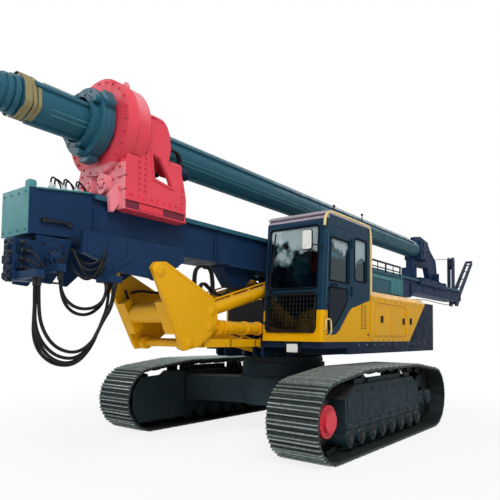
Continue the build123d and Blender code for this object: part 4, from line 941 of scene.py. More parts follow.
def make_house():
    """Door panels, recessed latches, roof seams and bolts on both sides, and the right house's screen."""
    face = HOUSE_SIDE
    panels = [rim(rect(y0, 1.53, y1, 2.02), 0.012, face - 0.001, face + 0.005)
              for y0, y1 in ((0.39, 0.97), (1.0, 1.64))]
    panels += [slab([(z0, 2.2145), (z0 + 0.02, 2.2145), (z0 + 0.016, 2.222), (z0 + 0.004, 2.222)], 0.52,
                    1.37) for z0 in (0.58, 2.32)]
    pair("house_panels", panels, "upper", paint_yellow)
    dark = []
    for y, z in ((0.63, 1.785), (1.55, 1.775), (1.89, 1.785)):
        dark.append(rim(rounded((y - 0.042, z - 0.056), (y + 0.042, z + 0.056), 0.012), 0.01, face - 0.001,
                        face + 0.01))
        dark.append(box((face, face + 0.003), (y - 0.036, y + 0.036), (z - 0.05, z + 0.05)))
        dark.append(bar((face + 0.002, y, z - 0.02), (face + 0.009, y, z - 0.02), 0.016, 12, bevel=0.003))
    pair("house_latches", dark, "upper", black_plastic)
    bolts = [bolts_at(1, 0.009, 0.007, [(face, y, 1.455) for y in in_row(0.28, 1.72, 8)]),
             bolts_at(1, 0.009, 0.007, [(face, y, 2.085) for y in in_row(0.28, 2.38, 10)])]
    pair("house_bolts", bolts, "upper", steel_zinc)
    screen = [slab(rounded((-1.42, 1.44), (-0.52, 2.14), 0.02), 0.221, 0.2295, axis=1, bevel=0.002)]
    screen += [box((-1.39, -0.55), (0.213, 0.222), (z, z + 0.022), bevel=0.003)
               for z in in_row(1.48, 2.08, 13)]
    piece("house_front_screen", screen, "upper", black_plastic)


def make_hoods():
    """Slats on the hoods' sides and lids, a pale band, rail feet, filler caps and the exhaust stack."""
    slats = [box((1.199, 1.222), (y, y + 0.035), (2.27, 2.56), bevel=0.004) for y in in_row(1.62, 2.1, 8)]
    slats += [slab([(y, 2.6215), (y + 0.026, 2.6215), (y + 0.018, 2.631), (y + 0.006, 2.631)], 0.62, 1.02)
              for y in in_row(0.95, 2.05, 22)]
    slats.append(box((1.199, 1.218), (0.8, 1.6), (2.5, 2.55), bevel=0.006))
    pair("hood_slats", slats, "upper", paint_pale_teal)
    dark = [stub(2, (1.16, y, 2.62), 2.634, [(0, 0.042), (0.008, 0.042), (0.014, 0.02)], 16)
            for y in (0.83, 1.495, 2.16)]
    dark.append(stub(2, (1.0, 0.47, 2.213), 2.28,
                     [(0, 0.05), (0.02, 0.055), (0.03, 0.075), (0.055, 0.075), (0.062, 0.06)], 20))
    dark += [hose([(1.16, y, 2.8), (1.16, y, 2.72), (1.16, y + 0.02, 2.63)], 0.008, 8)
             for y in (1.15, 1.83)]
    pair("hood_fittings", dark, "upper", black_plastic)
    rail = tube([(1.16, 0.83, 2.715), (1.16, 1.5, 2.715), (1.16, 2.16, 2.715)], 0.011, 10)
    pair("hood_middle_rail", [rail], "upper", paint_dark_navy)
    stack = hose([(0.36, 1.95, 2.04), (0.36, 1.95, 2.3), (0.36, 2.0, 2.4), (0.36, 2.2, 2.42)], 0.05, 16)
    piece("exhaust_stack", [stack], "upper", steel_dark)


def make_engine():
    """Ribs, cover, filters, belt guard and pipes that make the engine's block look like an engine."""
    shapes = [box((-0.44, 0.44), (y, y + 0.03), (1.6, 2.062), bevel=0.006) for y in in_row(1.76, 2.46, 6)]
    shapes.append(box((-0.3, 0.3), (1.78, 2.44), (2.05, 2.13), bevel=0.03))
    shapes += [stub(1, (x, 1.7, 1.85), 1.6, [(0, 0.06), (0.01, 0.09), (0.09, 0.09), (0.1, 0.07)], 20)
               for x in (-0.25, 0.25)]
    shapes.append(bar((-0.48, 1.9, 1.9), (-0.48, 2.4, 1.9), 0.07, 18, bevel=0.02))
    shapes += [hose([(0.4, y, 2.06), (0.47, y, 2.08), (0.49, y, 1.95), (0.46, y, 1.8)], 0.022, 10)
               for y in (1.85, 2.1, 2.35)]
    piece("engine_trim", shapes, "upper", steel_dark)


def make_deck():
    """Bolts along the deck's edge, eyes and joint lines on the counterweight, and lamps at its rear."""
    bolts = [bolts_at(1, 0.012, 0.009, [(HOUSE_SIDE, y, 1.385) for y in in_row(-0.2, 2.6, 11)]),
             bolts_at(-2, 0.018, 0.012, [(x, -0.84, z) for x in (0.2, 0.44) for z in (1.23, 1.38)])]
    pair("deck_bolts", bolts, "upper", steel_zinc)
    eyes = [rim(in_circle((0, 2.93, 2.19), 0.075, 18)[:, 1:], 0.035, 0.93, 0.97),
            slab([(2.85, 2.149), (3.01, 2.149), (2.98, 2.175), (2.88, 2.175)], 0.92, 0.98, bevel=0.004)]
    eyes += [box((1.4595, GASKET_FACE), (2.7, 3.08), (z, z + 0.012)) for z in (1.55, 1.85)]
    pair("weight_fittings", eyes, "upper", paint_dark_navy)
    lamps = [slab(rounded((0.95, 1.95), (1.15, 2.03), 0.02), 3.165, 3.185, axis=1, bevel=0.005)]
    pair("rear_lamps", lamps, "upper", lens_red)


make_house()
make_hoods()
make_engine()
make_deck()


# Linkage


def on_line(foot, eye, x, reach, out=0.0):
    """Place at a reach from foot toward eye, moved out square to that line in the YZ plane."""
    run = np.subtract(eye, foot)
    run = run / np.linalg.norm(run)
    y, z = np.add(foot, run * reach) + np.array((-run[1], run[0])) * out
    return (x, y, z)


def barrel_trim(foot, eye, x, outer, length, side=1):
    """Gland, bands and clamped pressure pipe of a barrel, the pipe over it (side 1) or under it (side -1)."""
    def at(reach, out=0.0):
        """Place on the barrel at a reach from its foot, moved out of its axis."""
        return on_line(foot, eye, x, reach, out)

    gland = [(0, outer), (0.004, outer + 0.014), (0.05, outer + 0.014), (0.054, outer + 0.006),
             (0.075, outer + 0.006), (0.082, outer - 0.02)]
    band = belt(outer, 0.006, 0.024, ease=0.002)
    shapes = [turned_about(at(length - 0.078), at(length + 0.01), gland, 28)]
    shapes += [turned_about(at(length * share), at(length * share + 0.03), band, 28)
               for share in (0.22, 0.5, 0.78)]
    near, far = side * (outer - 0.01), side * (outer + 0.034)
    shapes.append(hose([at(0.2, near), at(0.205, far), at(0.28, far), at(length - 0.2, far),
                        at(length - 0.11, far), at(length - 0.1, near)], 0.012))
    for share in (0.3, 0.5, 0.7):
        for step in (-0.015, 0.015):
            reach = length * share + step
            shapes.append(bar(at(reach, near), at(reach, side * (outer + 0.042)), 0.012, 8))
    return shapes


MAST_PIVOT = (-3.19, 2.23)
TRIANGLE_LOW = (-2.69, 1.397)
TRIANGLE_HIGH = (-2.33, 1.6)
CYLINDER_FOOT = (-2.29, 1.795)
CYLINDER_EYE = (-0.28, 2.37)
DECK_HIGH = (-0.7, 1.6)
LUFF_FOOT = (-0.7, 1.3)
LINK_HOSES = (0.178, 0.214)


def make_linkage():
    """Pin keepers, welds and rims of the triangles, collars of the links, trim of the cylinders, hoses."""
    keepers, welds = [], []
    for (y, z), radius in ((MAST_PIVOT, 0.058), (TRIANGLE_LOW, 0.042), (TRIANGLE_HIGH, 0.042),
                           (CYLINDER_FOOT, 0.036)):
        keepers.append(stub(0, (0.466, y, z), 0.486,
                            [(0, radius), (0.004, radius), (0.008, radius - 0.01)], 24))
        keepers.append(bolts_at(1, 0.007, 0.006, in_circle((0.474, y, z), radius - 0.02, 3, first=0.6)))
        bead = [(0, radius + 0.028), (0.004, radius + 0.028), (0.007, radius + 0.02)]
        welds.append(stub(0, (TRIANGLE_SIDE, y, z), TRIANGLE_SIDE + 0.01, bead, 32))
    edge = np.array([(-3.255, 2.305), (-3.105, 2.325), (-2.305, 1.975), (-2.225, 1.85), (-2.2, 1.675),
                     (-2.31, 1.53), (-2.54, 1.37), (-2.76, 1.33), (-2.81, 1.395), (-3.275, 2.255)])
    welds.append(rim(edge, 0.016, TRIANGLE_SIDE, TRIANGLE_SIDE + 0.004))
    pair("triangle_keepers", keepers, "triangle", paint_yellow)
    pair("triangle_welds", welds, "triangle", paint_yellow)

    caps = [stub(0, (0.399, *TRIANGLE_LOW), 0.412, [(0, 0.07), (0.004, 0.07), (0.006, 0.06)], 20)]
    caps += [box((0.3, 0.4), (y, y + 0.02), (1.342, 1.452), bevel=0.004) for y in (-2.4, -1.86, -1.32)]
    pair("lower_link_bands", caps, "lower_link", paint_yellow)
    collars = []
    for reach, wide in ((0.24, 0.016), (0.34, 0.012), (0.8, 0.01), (1.1, 0.012)):
        start, end = (on_line(TRIANGLE_HIGH, DECK_HIGH, 0.35, reach + step) for step in (0, 0.06))
        collars.append(turned_about(start, end, belt(0.086, 0.002 + wide, 0.043, ease=0.003), 26))
    pair("upper_link_collars", collars, "upper_link", paint_yellow)

    trim = barrel_trim(LUFF_FOOT, TRIANGLE_HIGH, 0.0, 0.08, 1.5074, side=-1)
    piece("luff_barrel_trim", trim, "luff_barrel", paint_yellow)
    for side, sign in (("left", 1), ("right", -1)):
        trim = barrel_trim(CYLINDER_FOOT, CYLINDER_EYE, sign * 0.32, 0.085, 1.9386)
        piece(f"mast_barrel_{side}_trim", trim, f"mast_barrel_{side}", paint_yellow)
    runs = [[(0.36, -2.93, 2.02), (0.33, -2.8, 2.06), (0.28, -2.62, 2.04), (0.21, -2.45, 2.06),
             (0.2, -2.2, 1.98)],
            [(0.38, -2.75, 1.98), (0.33, -2.66, 2.0), (0.24, -2.52, 1.97), (0.2, -2.4, 1.93),
             (0.19, -2.25, 1.8)]]
    runs.append([(-x, y, z) for x, y, z in runs[0]])
    for x in LINK_HOSES:
        runs.append([(x, -2.34, 1.97), (x, -2.363, 2.177), (x, -2.348, 2.333), (x, -2.275, 2.4),
                     (x, -2.05, 2.415), (x, -2.0, 2.168), (x, -2.02, 2.03), (x - 0.05, -2.2, 1.93)])
    runs.append([(-0.36, -3.02, 2.05), (-0.3, -2.99, 1.86), (-0.22, -2.93, 1.72), (-0.12, -2.84, 1.66),
                 (-0.02, -2.74, 1.7), (0.08, -2.66, 1.85), (0.16, -2.6, 1.9)])
    piece("triangle_hoses", [hose(run, 0.017) for run in runs], "triangle", rubber_hose)
    over = [[(x, -2.3, 1.7), (x, -2.27, 2.1), (x, -2.2, 2.2), (x, -2.074, 2.123), (x, -1.931, 2.04),
             (x, -1.722, 2.055), (x, -1.66, 2.156), (x, -1.321, 2.184), (x, -1.033, 2.26),
             (x, -0.86, 2.16), (x, -0.8, 1.85), (x, -0.78, 1.66)] for x in LINK_HOSES]
    piece("link_hoses", [hose(run, 0.017) for run in over], "upper_link", rubber_hose)


make_linkage()


# Mast


def make_mast():
    """Joint bolts, wear strips, clamped pipes, weld beads, the pale nose plate and the unions on the nose."""
    bolts = []
    for joint in MAST_JOINTS:
        for side in (-1, 1):
            places = [(0.251, joint + side * 0.045, z) for z in in_row(2.55, 2.79, 5)]
            bolts.append(bolts_at(2 * side, 0.011, 0.009, places))
    pair("mast_bolts", bolts, "mast", steel_dark)
    strips = [box((0.29, 0.292), (y0, y1), (2.906, 2.958))
              for y0, y1 in ((-3.95, -2.01), (-1.99, 5.19), (5.21, 9.44))]
    pair("rail_wear_strips", strips, "mast", paint_teal)
    seams = [(-3.95, -2.05, MAST_LOW_SEAM), (-1.95, 5.15, MAST_LOW_SEAM), (-3.95, -2.05, MAST_HIGH_SEAM),
             (-1.95, 5.15, MAST_HIGH_SEAM), (5.25, 9.4, MAST_HIGH_SEAM)]
    welds = [bar((0.2405, y0, z), (0.2405, y1, z), 0.006, 6) for y0, y1, z in seams]
    welds += [slab(rect(y - 0.006, 2.478, y + 0.006, MAST_HIGH_SEAM), 0.2395, 0.244)
              for y in (-3.955, 0.4, 2.8, 7.0)]
    pair("mast_welds", welds, "mast", paint_navy)
    lip = [(-4.56, 2.878), (-3.97, 2.958), (-3.97, 2.974), (-4.56, 2.894)]
    plate = [slab(rect(-0.248, 2.434, 0.248, 2.888), -4.652, -4.64, axis=1, bevel=0.003),
             slab(rounded((0.135, 2.86), (0.235, 2.965), 0.03), -4.63, -4.56, axis=1, bevel=0.008),
             slab(lip, 0.19, 0.262, bevel=0.004), slab(lip, -0.262, -0.19, bevel=0.004)]
    plate.append(bolts_at(-2, 0.012, 0.008,
                          [(x, -4.652, z) for x in (-0.205, -0.07, 0.07, 0.205) for z in (2.48, 2.84)]))
    piece("nose_plate", plate, "mast", paint_pale_teal)
    fittings, lines = [], []
    stem = [(0, 0.018), (0.02, 0.018), (0.022, 0.024), (0.045, 0.024), (0.047, 0.014), (0.075, 0.014)]
    for x, y in ((0.2, -4.4), (0.15, -4.33), (0.2, -4.26), (0.14, -4.2), (0.2, -4.12), (0.14, -4.06)):
        slope = (y + 4.4) * 0.08
        fittings.append(stub(2, (x, y, 2.935 + slope - 0.03), 2.935 + slope + 0.09, stem, 10))
        foot = 2.965 + slope
        lines.append(hose([(x, y, foot), (x, y, foot + 0.06), (x - 0.01, y + 0.03, foot + 0.085),
                           (x - 0.02, y + 0.1, foot + 0.05), (x - 0.03, y + 0.14, foot - 0.03)], 0.009, 8))
    piece("nose_unions", fittings, "mast", steel_white)
    piece("nose_lines", lines, "mast", rubber_hose)
    dark = [tube([(0.262, -4.52, 2.585), (0.268, -4.35, 2.588), (0.262, -4.19, 2.592)], 0.016, 10)]
    dark += [box((0.24, 0.275), (y - 0.02, y + 0.02), (2.56, 2.61), bevel=0.004) for y in (-4.49, -4.22)]
    dark += [tube([(-0.272, -3.72, z), (-0.272, 0.0, z), (-0.272, 4.9, z)], 0.011, 8)
             for z in (2.655, 2.685, 2.715)]
    dark += [box((-0.288, -0.24), (y - 0.018, y + 0.018), (2.635, 2.735), bevel=0.003)
             for y in in_row(-3.6, 4.8, 13)]
    dark += [bar((0.242, y, 2.8), (0.252, y, 2.8), 0.012, 8) for y in in_row(-1.6, 9.0, 12)]
    piece("mast_pipes", dark, "mast", steel_dark)
    rib = [slab(rect(y, 2.4745, y + 0.012, 2.462), -0.22, 0.22) for y in in_row(0.0, 5.0, 9)]
    under = [tube([(x, -0.05, 2.455), (x, 0.5, 2.452), (x, 0.96, 2.455)], 0.014, 8)
             for x in (-0.12, -0.07, 0.07, 0.12)]
    piece("mast_under_pipes", [*rib, *under], "mast", steel_dark)


def make_bracket():
    """Pin keeper rings, ribs and the small hose loops between the crowd frame and the mast bracket."""
    keeper = [(0, 0.112), (0.004, 0.112), (0.006, 0.1)]
    shapes = [stub(0, (BRACKET_SIDE, *MAST_PIVOT), BRACKET_SIDE + 0.008, keeper, 30),
              slab([(-4.1, 2.33), (-3.95, 2.28), (-3.93, 2.5), (-4.1, 2.5)], BRACKET_SIDE, 0.399),
              slab([(-3.8, 2.1), (-3.7, 2.2), (-3.52, 2.3), (-3.56, 2.5), (-3.6, 2.5), (-3.6, 2.32),
                    (-3.76, 2.24)], BRACKET_SIDE, 0.404)]
    shapes += [box((0.345, 0.4), (y, y + 0.02), (2.3, 2.53), bevel=0.003) for y in (-3.86, -2.86)]
    pair("bracket_ribs", shapes, "mast", paint_navy)
    loops = [[(0.3, -4.19, 2.33), (0.38, -4.18, 2.2), (0.42, -4.14, 2.08), (0.43, -4.02, 2.06),
              (0.43, -3.93, 2.16), (0.41, -3.88, 2.28)],
             [(0.28, -4.17, 2.3), (0.34, -4.12, 2.16), (0.4, -4.05, 2.13), (0.42, -3.96, 2.18),
              (0.42, -3.92, 2.3)],
             [(0.3, -4.22, 2.2), (0.44, -4.24, 2.08), (0.46, -4.14, 2.02), (0.46, -4.02, 2.1),
              (0.43, -3.94, 2.24)],
             [(0.25, -4.2, 2.36), (0.3, -4.1, 2.22), (0.36, -4.02, 2.2), (0.4, -3.93, 2.26),
              (0.4, -3.87, 2.36)]]
    piece("bracket_hose_loops", [hose(loop, 0.013, 9) for loop in loops], "mast", rubber_hose)


def make_crowd_foot():
    """Crowd winch motor with its bolts and hoses, valve block with unions and the drum's rope."""
    y, z = CROWD_AXIS
    cap = [(0, 0.095), (0.02, 0.1), (0.03, 0.1), (0.034, 0.082), (0.075, 0.078), (0.08, 0.055),
           (0.12, 0.052), (0.125, 0.04)]
    shapes = [stub(0, (0.26, y, z), 0.385, cap, 28), stub(0, (-0.26, y, z), -0.385, cap, 28),
              slab(rounded((-4.5, 2.06), (-4.26, 2.38), 0.05), 0.234, 0.246, bevel=0.004),
              slab([(-4.52, 2.0), (-4.25, 2.0), (-4.3, 1.985), (-4.5, 1.985)], 0.2, 0.25)]
    piece("crowd_motor", shapes, "mast", paint_navy)
    bolts = [bolts_at(1, 0.011, 0.009, in_circle((0.292, y, z), 0.09, 10)),
             bolts_at(1, 0.011, 0.009, [(0.246, yy, zz) for yy in (-4.48, -4.28) for zz in (2.08, 2.36)]),
             bolts_at(-2, 0.012, 0.01, [(x, -4.77, zz) for x in (0.09, 0.205) for zz in (2.1, 2.24, 2.35)])]
    stem = [(0, 0.02), (0.018, 0.02), (0.02, 0.016), (0.034, 0.016), (0.036, 0.021), (0.05, 0.021),
            (0.055, 0.014)]
    for zz in (2.02, 2.1, 2.18, 2.26, 2.34):
        bolts.append(stub(1, (0.17, -4.745, zz - 0.03), -4.8, stem, 8))
        bolts.append(stub(0, (0.233, -4.7, zz), 0.295, stem, 8))
    piece("valve_unions", bolts, "mast", steel_dark)
    block = [box((0.075, 0.225), (-4.79, -4.765), (2.0, 2.06), bevel=0.006),
             box((0.08, 0.22), (-4.795, -4.765), (2.14, 2.22), bevel=0.006),
             box((0.232, 0.27), (-4.75, -4.63), (2.09, 2.16), bevel=0.006),
             box((0.232, 0.265), (-4.74, -4.6), (2.24, 2.33), bevel=0.008),
             bar((0.12, -4.78, 2.3), (0.2, -4.78, 2.3), 0.022, 12, bevel=0.004)]
    piece("valve_spools", block, "mast", paint_dark_navy)
    runs = []
    for k, zz in enumerate((2.02, 2.1, 2.18, 2.26)):
        runs.append([(0.295, -4.7, zz), (0.34, -4.7, zz), (0.4 + 0.02 * k, -4.7, zz - 0.03),
                     (0.4 + 0.04 * k, -4.68 + 0.02 * k, 2.09)])
    runs.append([(0.385, y, z), (0.43, y - 0.02, z), (0.45, y - 0.08, z - 0.04), (0.47, y - 0.1, 2.14)])
    runs.append([(0.36, y + 0.03, z + 0.05), (0.42, y + 0.02, z + 0.06), (0.48, y - 0.02, z),
                 (0.52, y - 0.09, 2.14)])
    piece("crowd_hoses", [hose(run, 0.011, 8) for run in runs], "mast", rubber_hose)
    rope = coil((y, z), 0.111, 0.0095, -0.145, 0.145)
    piece("crowd_rope", [rope], "crowd_drum", steel_rope)


def make_winch():
    """Main winch: rope wraps on the drum, planet drive and brake at the frame's sides."""
    y, z = WINCH_AXIS
    piece("winch_rope", [coil((y, z), 0.122, 0.011, -0.18, 0.18)], "winch_drum", steel_rope)
    drive = [(0, 0.1), (0.02, 0.115), (0.05, 0.115), (0.055, 0.09), (0.12, 0.085), (0.125, 0.06),
             (0.19, 0.055), (0.195, 0.04)]
    shapes = [stub(0, (0.259, y, z), 0.455, drive, 28), stub(0, (-0.259, y, z), -0.36, drive[:6], 28)]
    piece("winch_drive", shapes, "mast", paint_navy)
    piece("winch_bolts", [bolts_at(1, 0.01, 0.008, in_circle((0.309, y, z), 0.102, 12))], "mast",
          steel_zinc)


make_mast()
make_bracket()
make_crowd_foot()
make_winch()


# Rotary head


MOTOR_OUT = 0.285
MOTOR_HEIGHT = 3.48
DRUM_RADIUS = 0.525


def make_head():
    """Bolt rows, flanges, ribs, lifting eyes, the shoe's dark strip, motor covers and hoses of the head."""
    bolts = [bolts_at(1, 0.014, 0.011, [(0.42, -3.485, z) for z in in_row(3.1, 3.72, 11)]),
             bolts_at(1, 0.014, 0.011, [(0.42, -3.4, z) for z in in_row(3.1, 3.72, 11)]),
             bolts_at(1, 0.012, 0.01, [(0.42, y, 3.02) for y in in_row(-3.58, -2.84, 9)]),
             bolts_at(1, 0.012, 0.01, [(0.42, -2.83, z) for z in in_row(3.08, 3.24, 3)]),
             bolts_at(-2, 0.012, 0.01, [(x, -3.69, z) for x in (0.235, 0.35) for z in (3.07, 3.19, 3.31)]),
             bolts_at(-2, 0.01, 0.008, in_circle((0.13, -3.77, 3.137), 0.052, 6, axis=1))]
    pair("head_bolts", bolts, "rotary_head", paint_red)
    outer = np.array([(-3.335, 3.575), (-3.17, 3.535), (-3.035, 3.345), (-2.965, 3.2), (-3.29, 3.245)])
    shapes = [rim(outer, 0.022, HEAD_SIDE, 0.432),
              slab(rect(-3.685, 2.945, -2.775, 2.968), HEAD_SIDE, 0.44, bevel=0.003),
              slab(rect(-3.685, 2.842, -2.765, 2.856), HEAD_SIDE, 0.436, bevel=0.002)]
    shapes += [slab([(y, 2.97), (y + 0.016, 2.97), (y + 0.016, 3.05), (y, 3.03)], HEAD_SIDE, 0.436)
               for y in (-3.62, -3.42, -3.22, -3.02, -2.86)]
    shapes += [slab([(-3.44, 3.92), (-3.3, 3.965), (-3.13, 3.94), (-3.13, 3.955), (-3.3, 3.985),
                     (-3.44, 3.94)], 0.375, 0.425, bevel=0.003)]
    shapes += [stub(1, (0.13, -3.765, 3.137), -3.785, [(0, 0.045), (0.01, 0.045), (0.016, 0.03)], 20)]
    shapes += [slab(rect(-3.7, z, -3.655, z + 0.012), 0.3, 0.42) for z in (3.05, 3.2)]
    pair("head_flanges", shapes, "rotary_head", paint_coral)
    strip = box((HEAD_SIDE, 0.424), (-3.66, -2.79), (2.858, 2.943))
    pair("head_shoe_strip", [strip], "rotary_head", paint_dark_red)
    pair("head_shoe_panel", [box((HEAD_SIDE, 0.428), (-3.48, -3.13), (2.862, 2.938), bevel=0.003)],
         "rotary_head", paint_red)

    rings = [stub(1, (0, -3.601, KELLY_AXIS), -3.57, belt(0.526, 0.007, 0.024), 72),
             stub(1, (0, -3.5, KELLY_AXIS), -3.47, belt(0.524, 0.005, 0.024), 72)]
    piece("head_drum_bands", rings, "rotary_head", paint_coral, smooth=30)
    eyes = []
    lug = np.array([(-0.04, -0.02), (0.04, -0.02), (0.045, 0.03), (0.02, 0.065), (-0.02, 0.065),
                    (-0.045, 0.03)])
    for x in (0.2, -0.2):
        top = KELLY_AXIS + np.sqrt(DRUM_RADIUS ** 2 - x ** 2)
        eyes.append(slab(lug + (-3.52, top), x - 0.012, x + 0.012, bevel=0.003))
    eyes.append(slab([(-3.3, 4.165), (-3.1, 4.165), (-3.12, 4.2), (-3.28, 4.2)], -0.1, 0.1, bevel=0.008))
    eyes.append(bar((0, -3.2, 4.19), (0, -3.2, 4.26), 0.03, 14, bevel=0.005))
    piece("head_eyes", eyes, "rotary_head", paint_coral)
    motors, hoses = [], []
    cover = [(0, 0.1), (0.01, 0.088), (0.08, 0.085), (0.085, 0.07), (0.15, 0.068), (0.155, 0.05)]
    for sign in (1, -1):
        x, z = sign * MOTOR_OUT, MOTOR_HEIGHT
        motors.append(stub(1, (x, -2.801, z), -2.64, cover, 24))
        motors.append(box(sorted((x - sign * 0.12, x + sign * 0.02)), (-2.76, -2.68), (z + 0.06, z + 0.13),
                          bevel=0.008))
        for k in (0, 1):
            near = x - sign * (0.01 + 0.045 * k)
            hoses.append(hose([(near, -2.72, z + 0.12), (near, -2.72, z + 0.19),
                               (x - sign * 0.02, -2.77 - 0.02 * k, z + 0.27),
                               (x - sign * 0.01, -2.92, z + 0.26), (x - sign * 0.02, -3.04, z + 0.18)],
                              0.018, 10))
    piece("head_motors", motors, "rotary_head", paint_dark_navy)
    piece("head_hoses", hoses, "rotary_head", rubber_hose)


EAR_CIRCLE = 0.335
CUSHION_CIRCLE = 0.3


def make_sleeve():
    """Bands, ear pins, bolts and rubber cushions of the kelly drive sleeve."""
    collar = [stub(1, (0, -3.931, KELLY_AXIS), -3.9, belt(0.366, 0.006, 0.026), 60),
              stub(1, (0, -3.85, KELLY_AXIS), -3.82, belt(0.366, 0.004, 0.022), 60)]
    ears = in_circle((0, -4.0, KELLY_AXIS), EAR_CIRCLE, 3, axis=1, first=np.pi / 6)
    collar += [bar(ear, ear + (0, 0.07, 0), 0.04, 16, bevel=0.006) for ear in ears]
    piece("sleeve_bands", collar, "drive_sleeve", paint_teal, smooth=30)
    bolts = [bolts_at(-2, 0.011, 0.009, in_circle((0, -4.01, KELLY_AXIS), 0.268, 12, axis=1)),
             bolts_at(-2, 0.011, 0.009,
                      in_circle((0, -3.93, KELLY_AXIS), EAR_CIRCLE, 12, axis=1, first=0.13))]
    piece("sleeve_bolts", bolts, "drive_sleeve", paint_teal)
    blocks = [bar(place, place + (0, 0.033, 0), 0.028, 12)
              for place in in_circle((0, -3.775, KELLY_AXIS), CUSHION_CIRCLE, 12, axis=1)]
    piece("sleeve_cushions", blocks, "drive_sleeve", rubber_seal)


def strap(low, high, lean):
    """Webbing strap drawn round the kelly: an arc on the tube, a wider arc over a key, straight between."""
    angle = np.linspace(0, 2 * np.pi, 120, endpoint=False)
    tube_radius, key_radius, key_half = 0.207, 0.238, 0.13
    past = np.abs((angle - np.pi / 2 + np.pi / 3) % (2 * np.pi / 3) - np.pi / 3) - key_half
    reach = np.arccos(tube_radius / key_radius)
    radius = tube_radius / np.cos((reach - past.clip(0)).clip(0))
    rings = []
    for y, out in ((low, 0.0), (low, 0.005), (high, 0.005), (high, 0.0)):
        rings.append(np.stack([(radius + out) * np.cos(angle), y + lean * np.sin(angle + low * 40),
                               KELLY_AXIS + (radius + out) * np.sin(angle)], 1))
    return grid(np.stack(rings, 1), round_v=True)


def make_kelly():
    """Weld beads round the kelly, pale bars along the edges of its keys as painted highlights, webbing at its
    front end, trim of its square stub.
    """
    beads = [stub(1, (0, y, KELLY_AXIS), y + 0.02, belt(0.205, 0.0035, 0.016), 40)
             for y in (-3.2, -0.9, 1.4, 3.7, 5.4)]
    piece("kelly_beads", beads, "kelly_outer", paint_teal)
    # painted highlight: thin pale teal bars along both edges of each key, the kelly's whole length
    highlight_bars = []
    for turn in KELLY_KEYS:
        out, side = np.array((np.cos(turn), np.sin(turn))), np.array((-np.sin(turn), np.cos(turn)))
        for shift in (-0.026, 0.026):
            x, z = 0.2325 * out + shift * side
            highlight_bars.append(bar((x, -4.42, KELLY_AXIS + z), (x, 5.6, KELLY_AXIS + z), 0.0045, 6))
    piece("kelly_key_painted_highlights", highlight_bars, "kelly_outer", paint_pale_teal)
    straps = [strap(low, low + 0.036, lean)
              for low, lean in ((-4.7, 0.006), (-4.655, -0.008), (-4.61, 0.01), (-4.565, 0.004))]
    piece("kelly_webbing", straps, "kelly_outer", webbing)
    lugs = [bar((x, -5.33, KELLY_AXIS), (x + np.sign(x) * 0.035, -5.33, KELLY_AXIS), 0.028, 14,
                bevel=0.004) for x in (0.075, -0.075)]
    lugs.append(stub(1, (0, -5.19, KELLY_AXIS), -5.13,
                     [(0, 0.105), (0.01, 0.118), (0.05, 0.118), (0.055, 0.112)], 32))
    piece("kelly_stub_trim", lugs, "kelly_inner", steel_dark)


def make_guide():
    """Ribs, flanges and bolts on the kelly guide."""
    ribs = []
    plate = [(5.715, 3.0), (5.715, 3.47), (5.86, 3.52), (6.9, 3.8), (7.25, 3.85), (7.62, 3.66),
             (7.76, 3.1), (7.76, 3.0)]
    ribs.append(rim(plate, 0.022, 0.0595, 0.076))
    ribs.append(rim([(6.02, 3.05), (6.02, 3.415), (6.93, 3.455), (7.16, 3.05)], 0.022, 0.0595, 0.074))
    ribs += [slab(rect(y, 3.02, y + 0.02, 3.3), 0.06, 0.2) for y in (5.72, 7.5)]
    ribs += [box((0.2, 0.345), (y, y + 0.018), (2.975, 3.03), bevel=0.003) for y in (5.9, 6.5, 7.1, 7.6)]
    pair("guide_ribs", ribs, "kelly_guide", paint_navy)
    bolts = [bolts_at(1, 0.013, 0.01, [(0.232, y, z) for y in (6.21, 6.25) for z in in_row(3.63, 4.0, 6)]),
             bolts_at(3, 0.012, 0.01, [(0.26, y, 3.022) for y in in_row(5.8, 7.7, 10)])]
    pair("guide_bolts", bolts, "kelly_guide", steel_zinc)


def make_crown():
    """Sheave guard, pin keepers and ribs on the mast head, and the ropes to the kelly guide and the winch."""
    shapes = [slab([(9.24, 3.86), (9.3, 3.98), (9.42, 3.98), (9.48, 3.86), (9.44, 3.86), (9.4, 3.94),
                    (9.32, 3.94), (9.28, 3.86)], -0.045, 0.045)]
    keeper = [(0, 0.055), (0.006, 0.055), (0.012, 0.04)]
    for place, out in ((UPPER_SHEAVE, 0.08), (LOWER_SHEAVE, 0.105)):
        shapes += [stub(0, (side * out, *place), side * (out + 0.018), keeper, 18) for side in (1, -1)]
    for share in (0.2, 0.45, 0.7, 0.92):
        y, z = 9.95 + 1.42 * share, 2.93 + 1.15 * share
        shapes.append(bar((-0.072, y, z), (0.072, y, z), 0.016, 10))
    shapes += [box((-0.2, 0.2), (9.49, 9.51), (z, z + 0.02)) for z in (2.7, 2.9)]
    piece("crown_trim", shapes, "mast", paint_navy)
    bolts = [bolts_at(2, 0.012, 0.01, [(x, 9.495, z) for x in (0.16, 0.19) for z in in_row(2.68, 2.92, 4)])]
    pair("crown_bolts", bolts, "mast", steel_zinc)
    radius = 0.75 * SHEAVE_RADIUS
    sheave_y, sheave_z = UPPER_SHEAVE
    line = np.linspace((0, 7.58, 3.72), (0, sheave_y, sheave_z + radius + 0.004), 24)
    rope = piece("crown_rope", [tube(line, 0.01, 8)], None, steel_rope)
    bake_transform(rope)
    down = tube([(0, sheave_y + radius, 3.78), (0, 9.5, 3.3), (0, 9.52, 2.85)], 0.01, 8)
    low = tube([(0, 9.56, 2.585), (0, 8.9, 2.5), (0, 8.2, 2.5), (0, 7.0, 2.53), (0, 5.4, 2.46)], 0.01, 8)
    piece("crown_rope_down", [down, low], "mast", steel_rope)


make_head()
make_sleeve()
make_kelly()
make_guide()
make_crown()


# Undercarriage


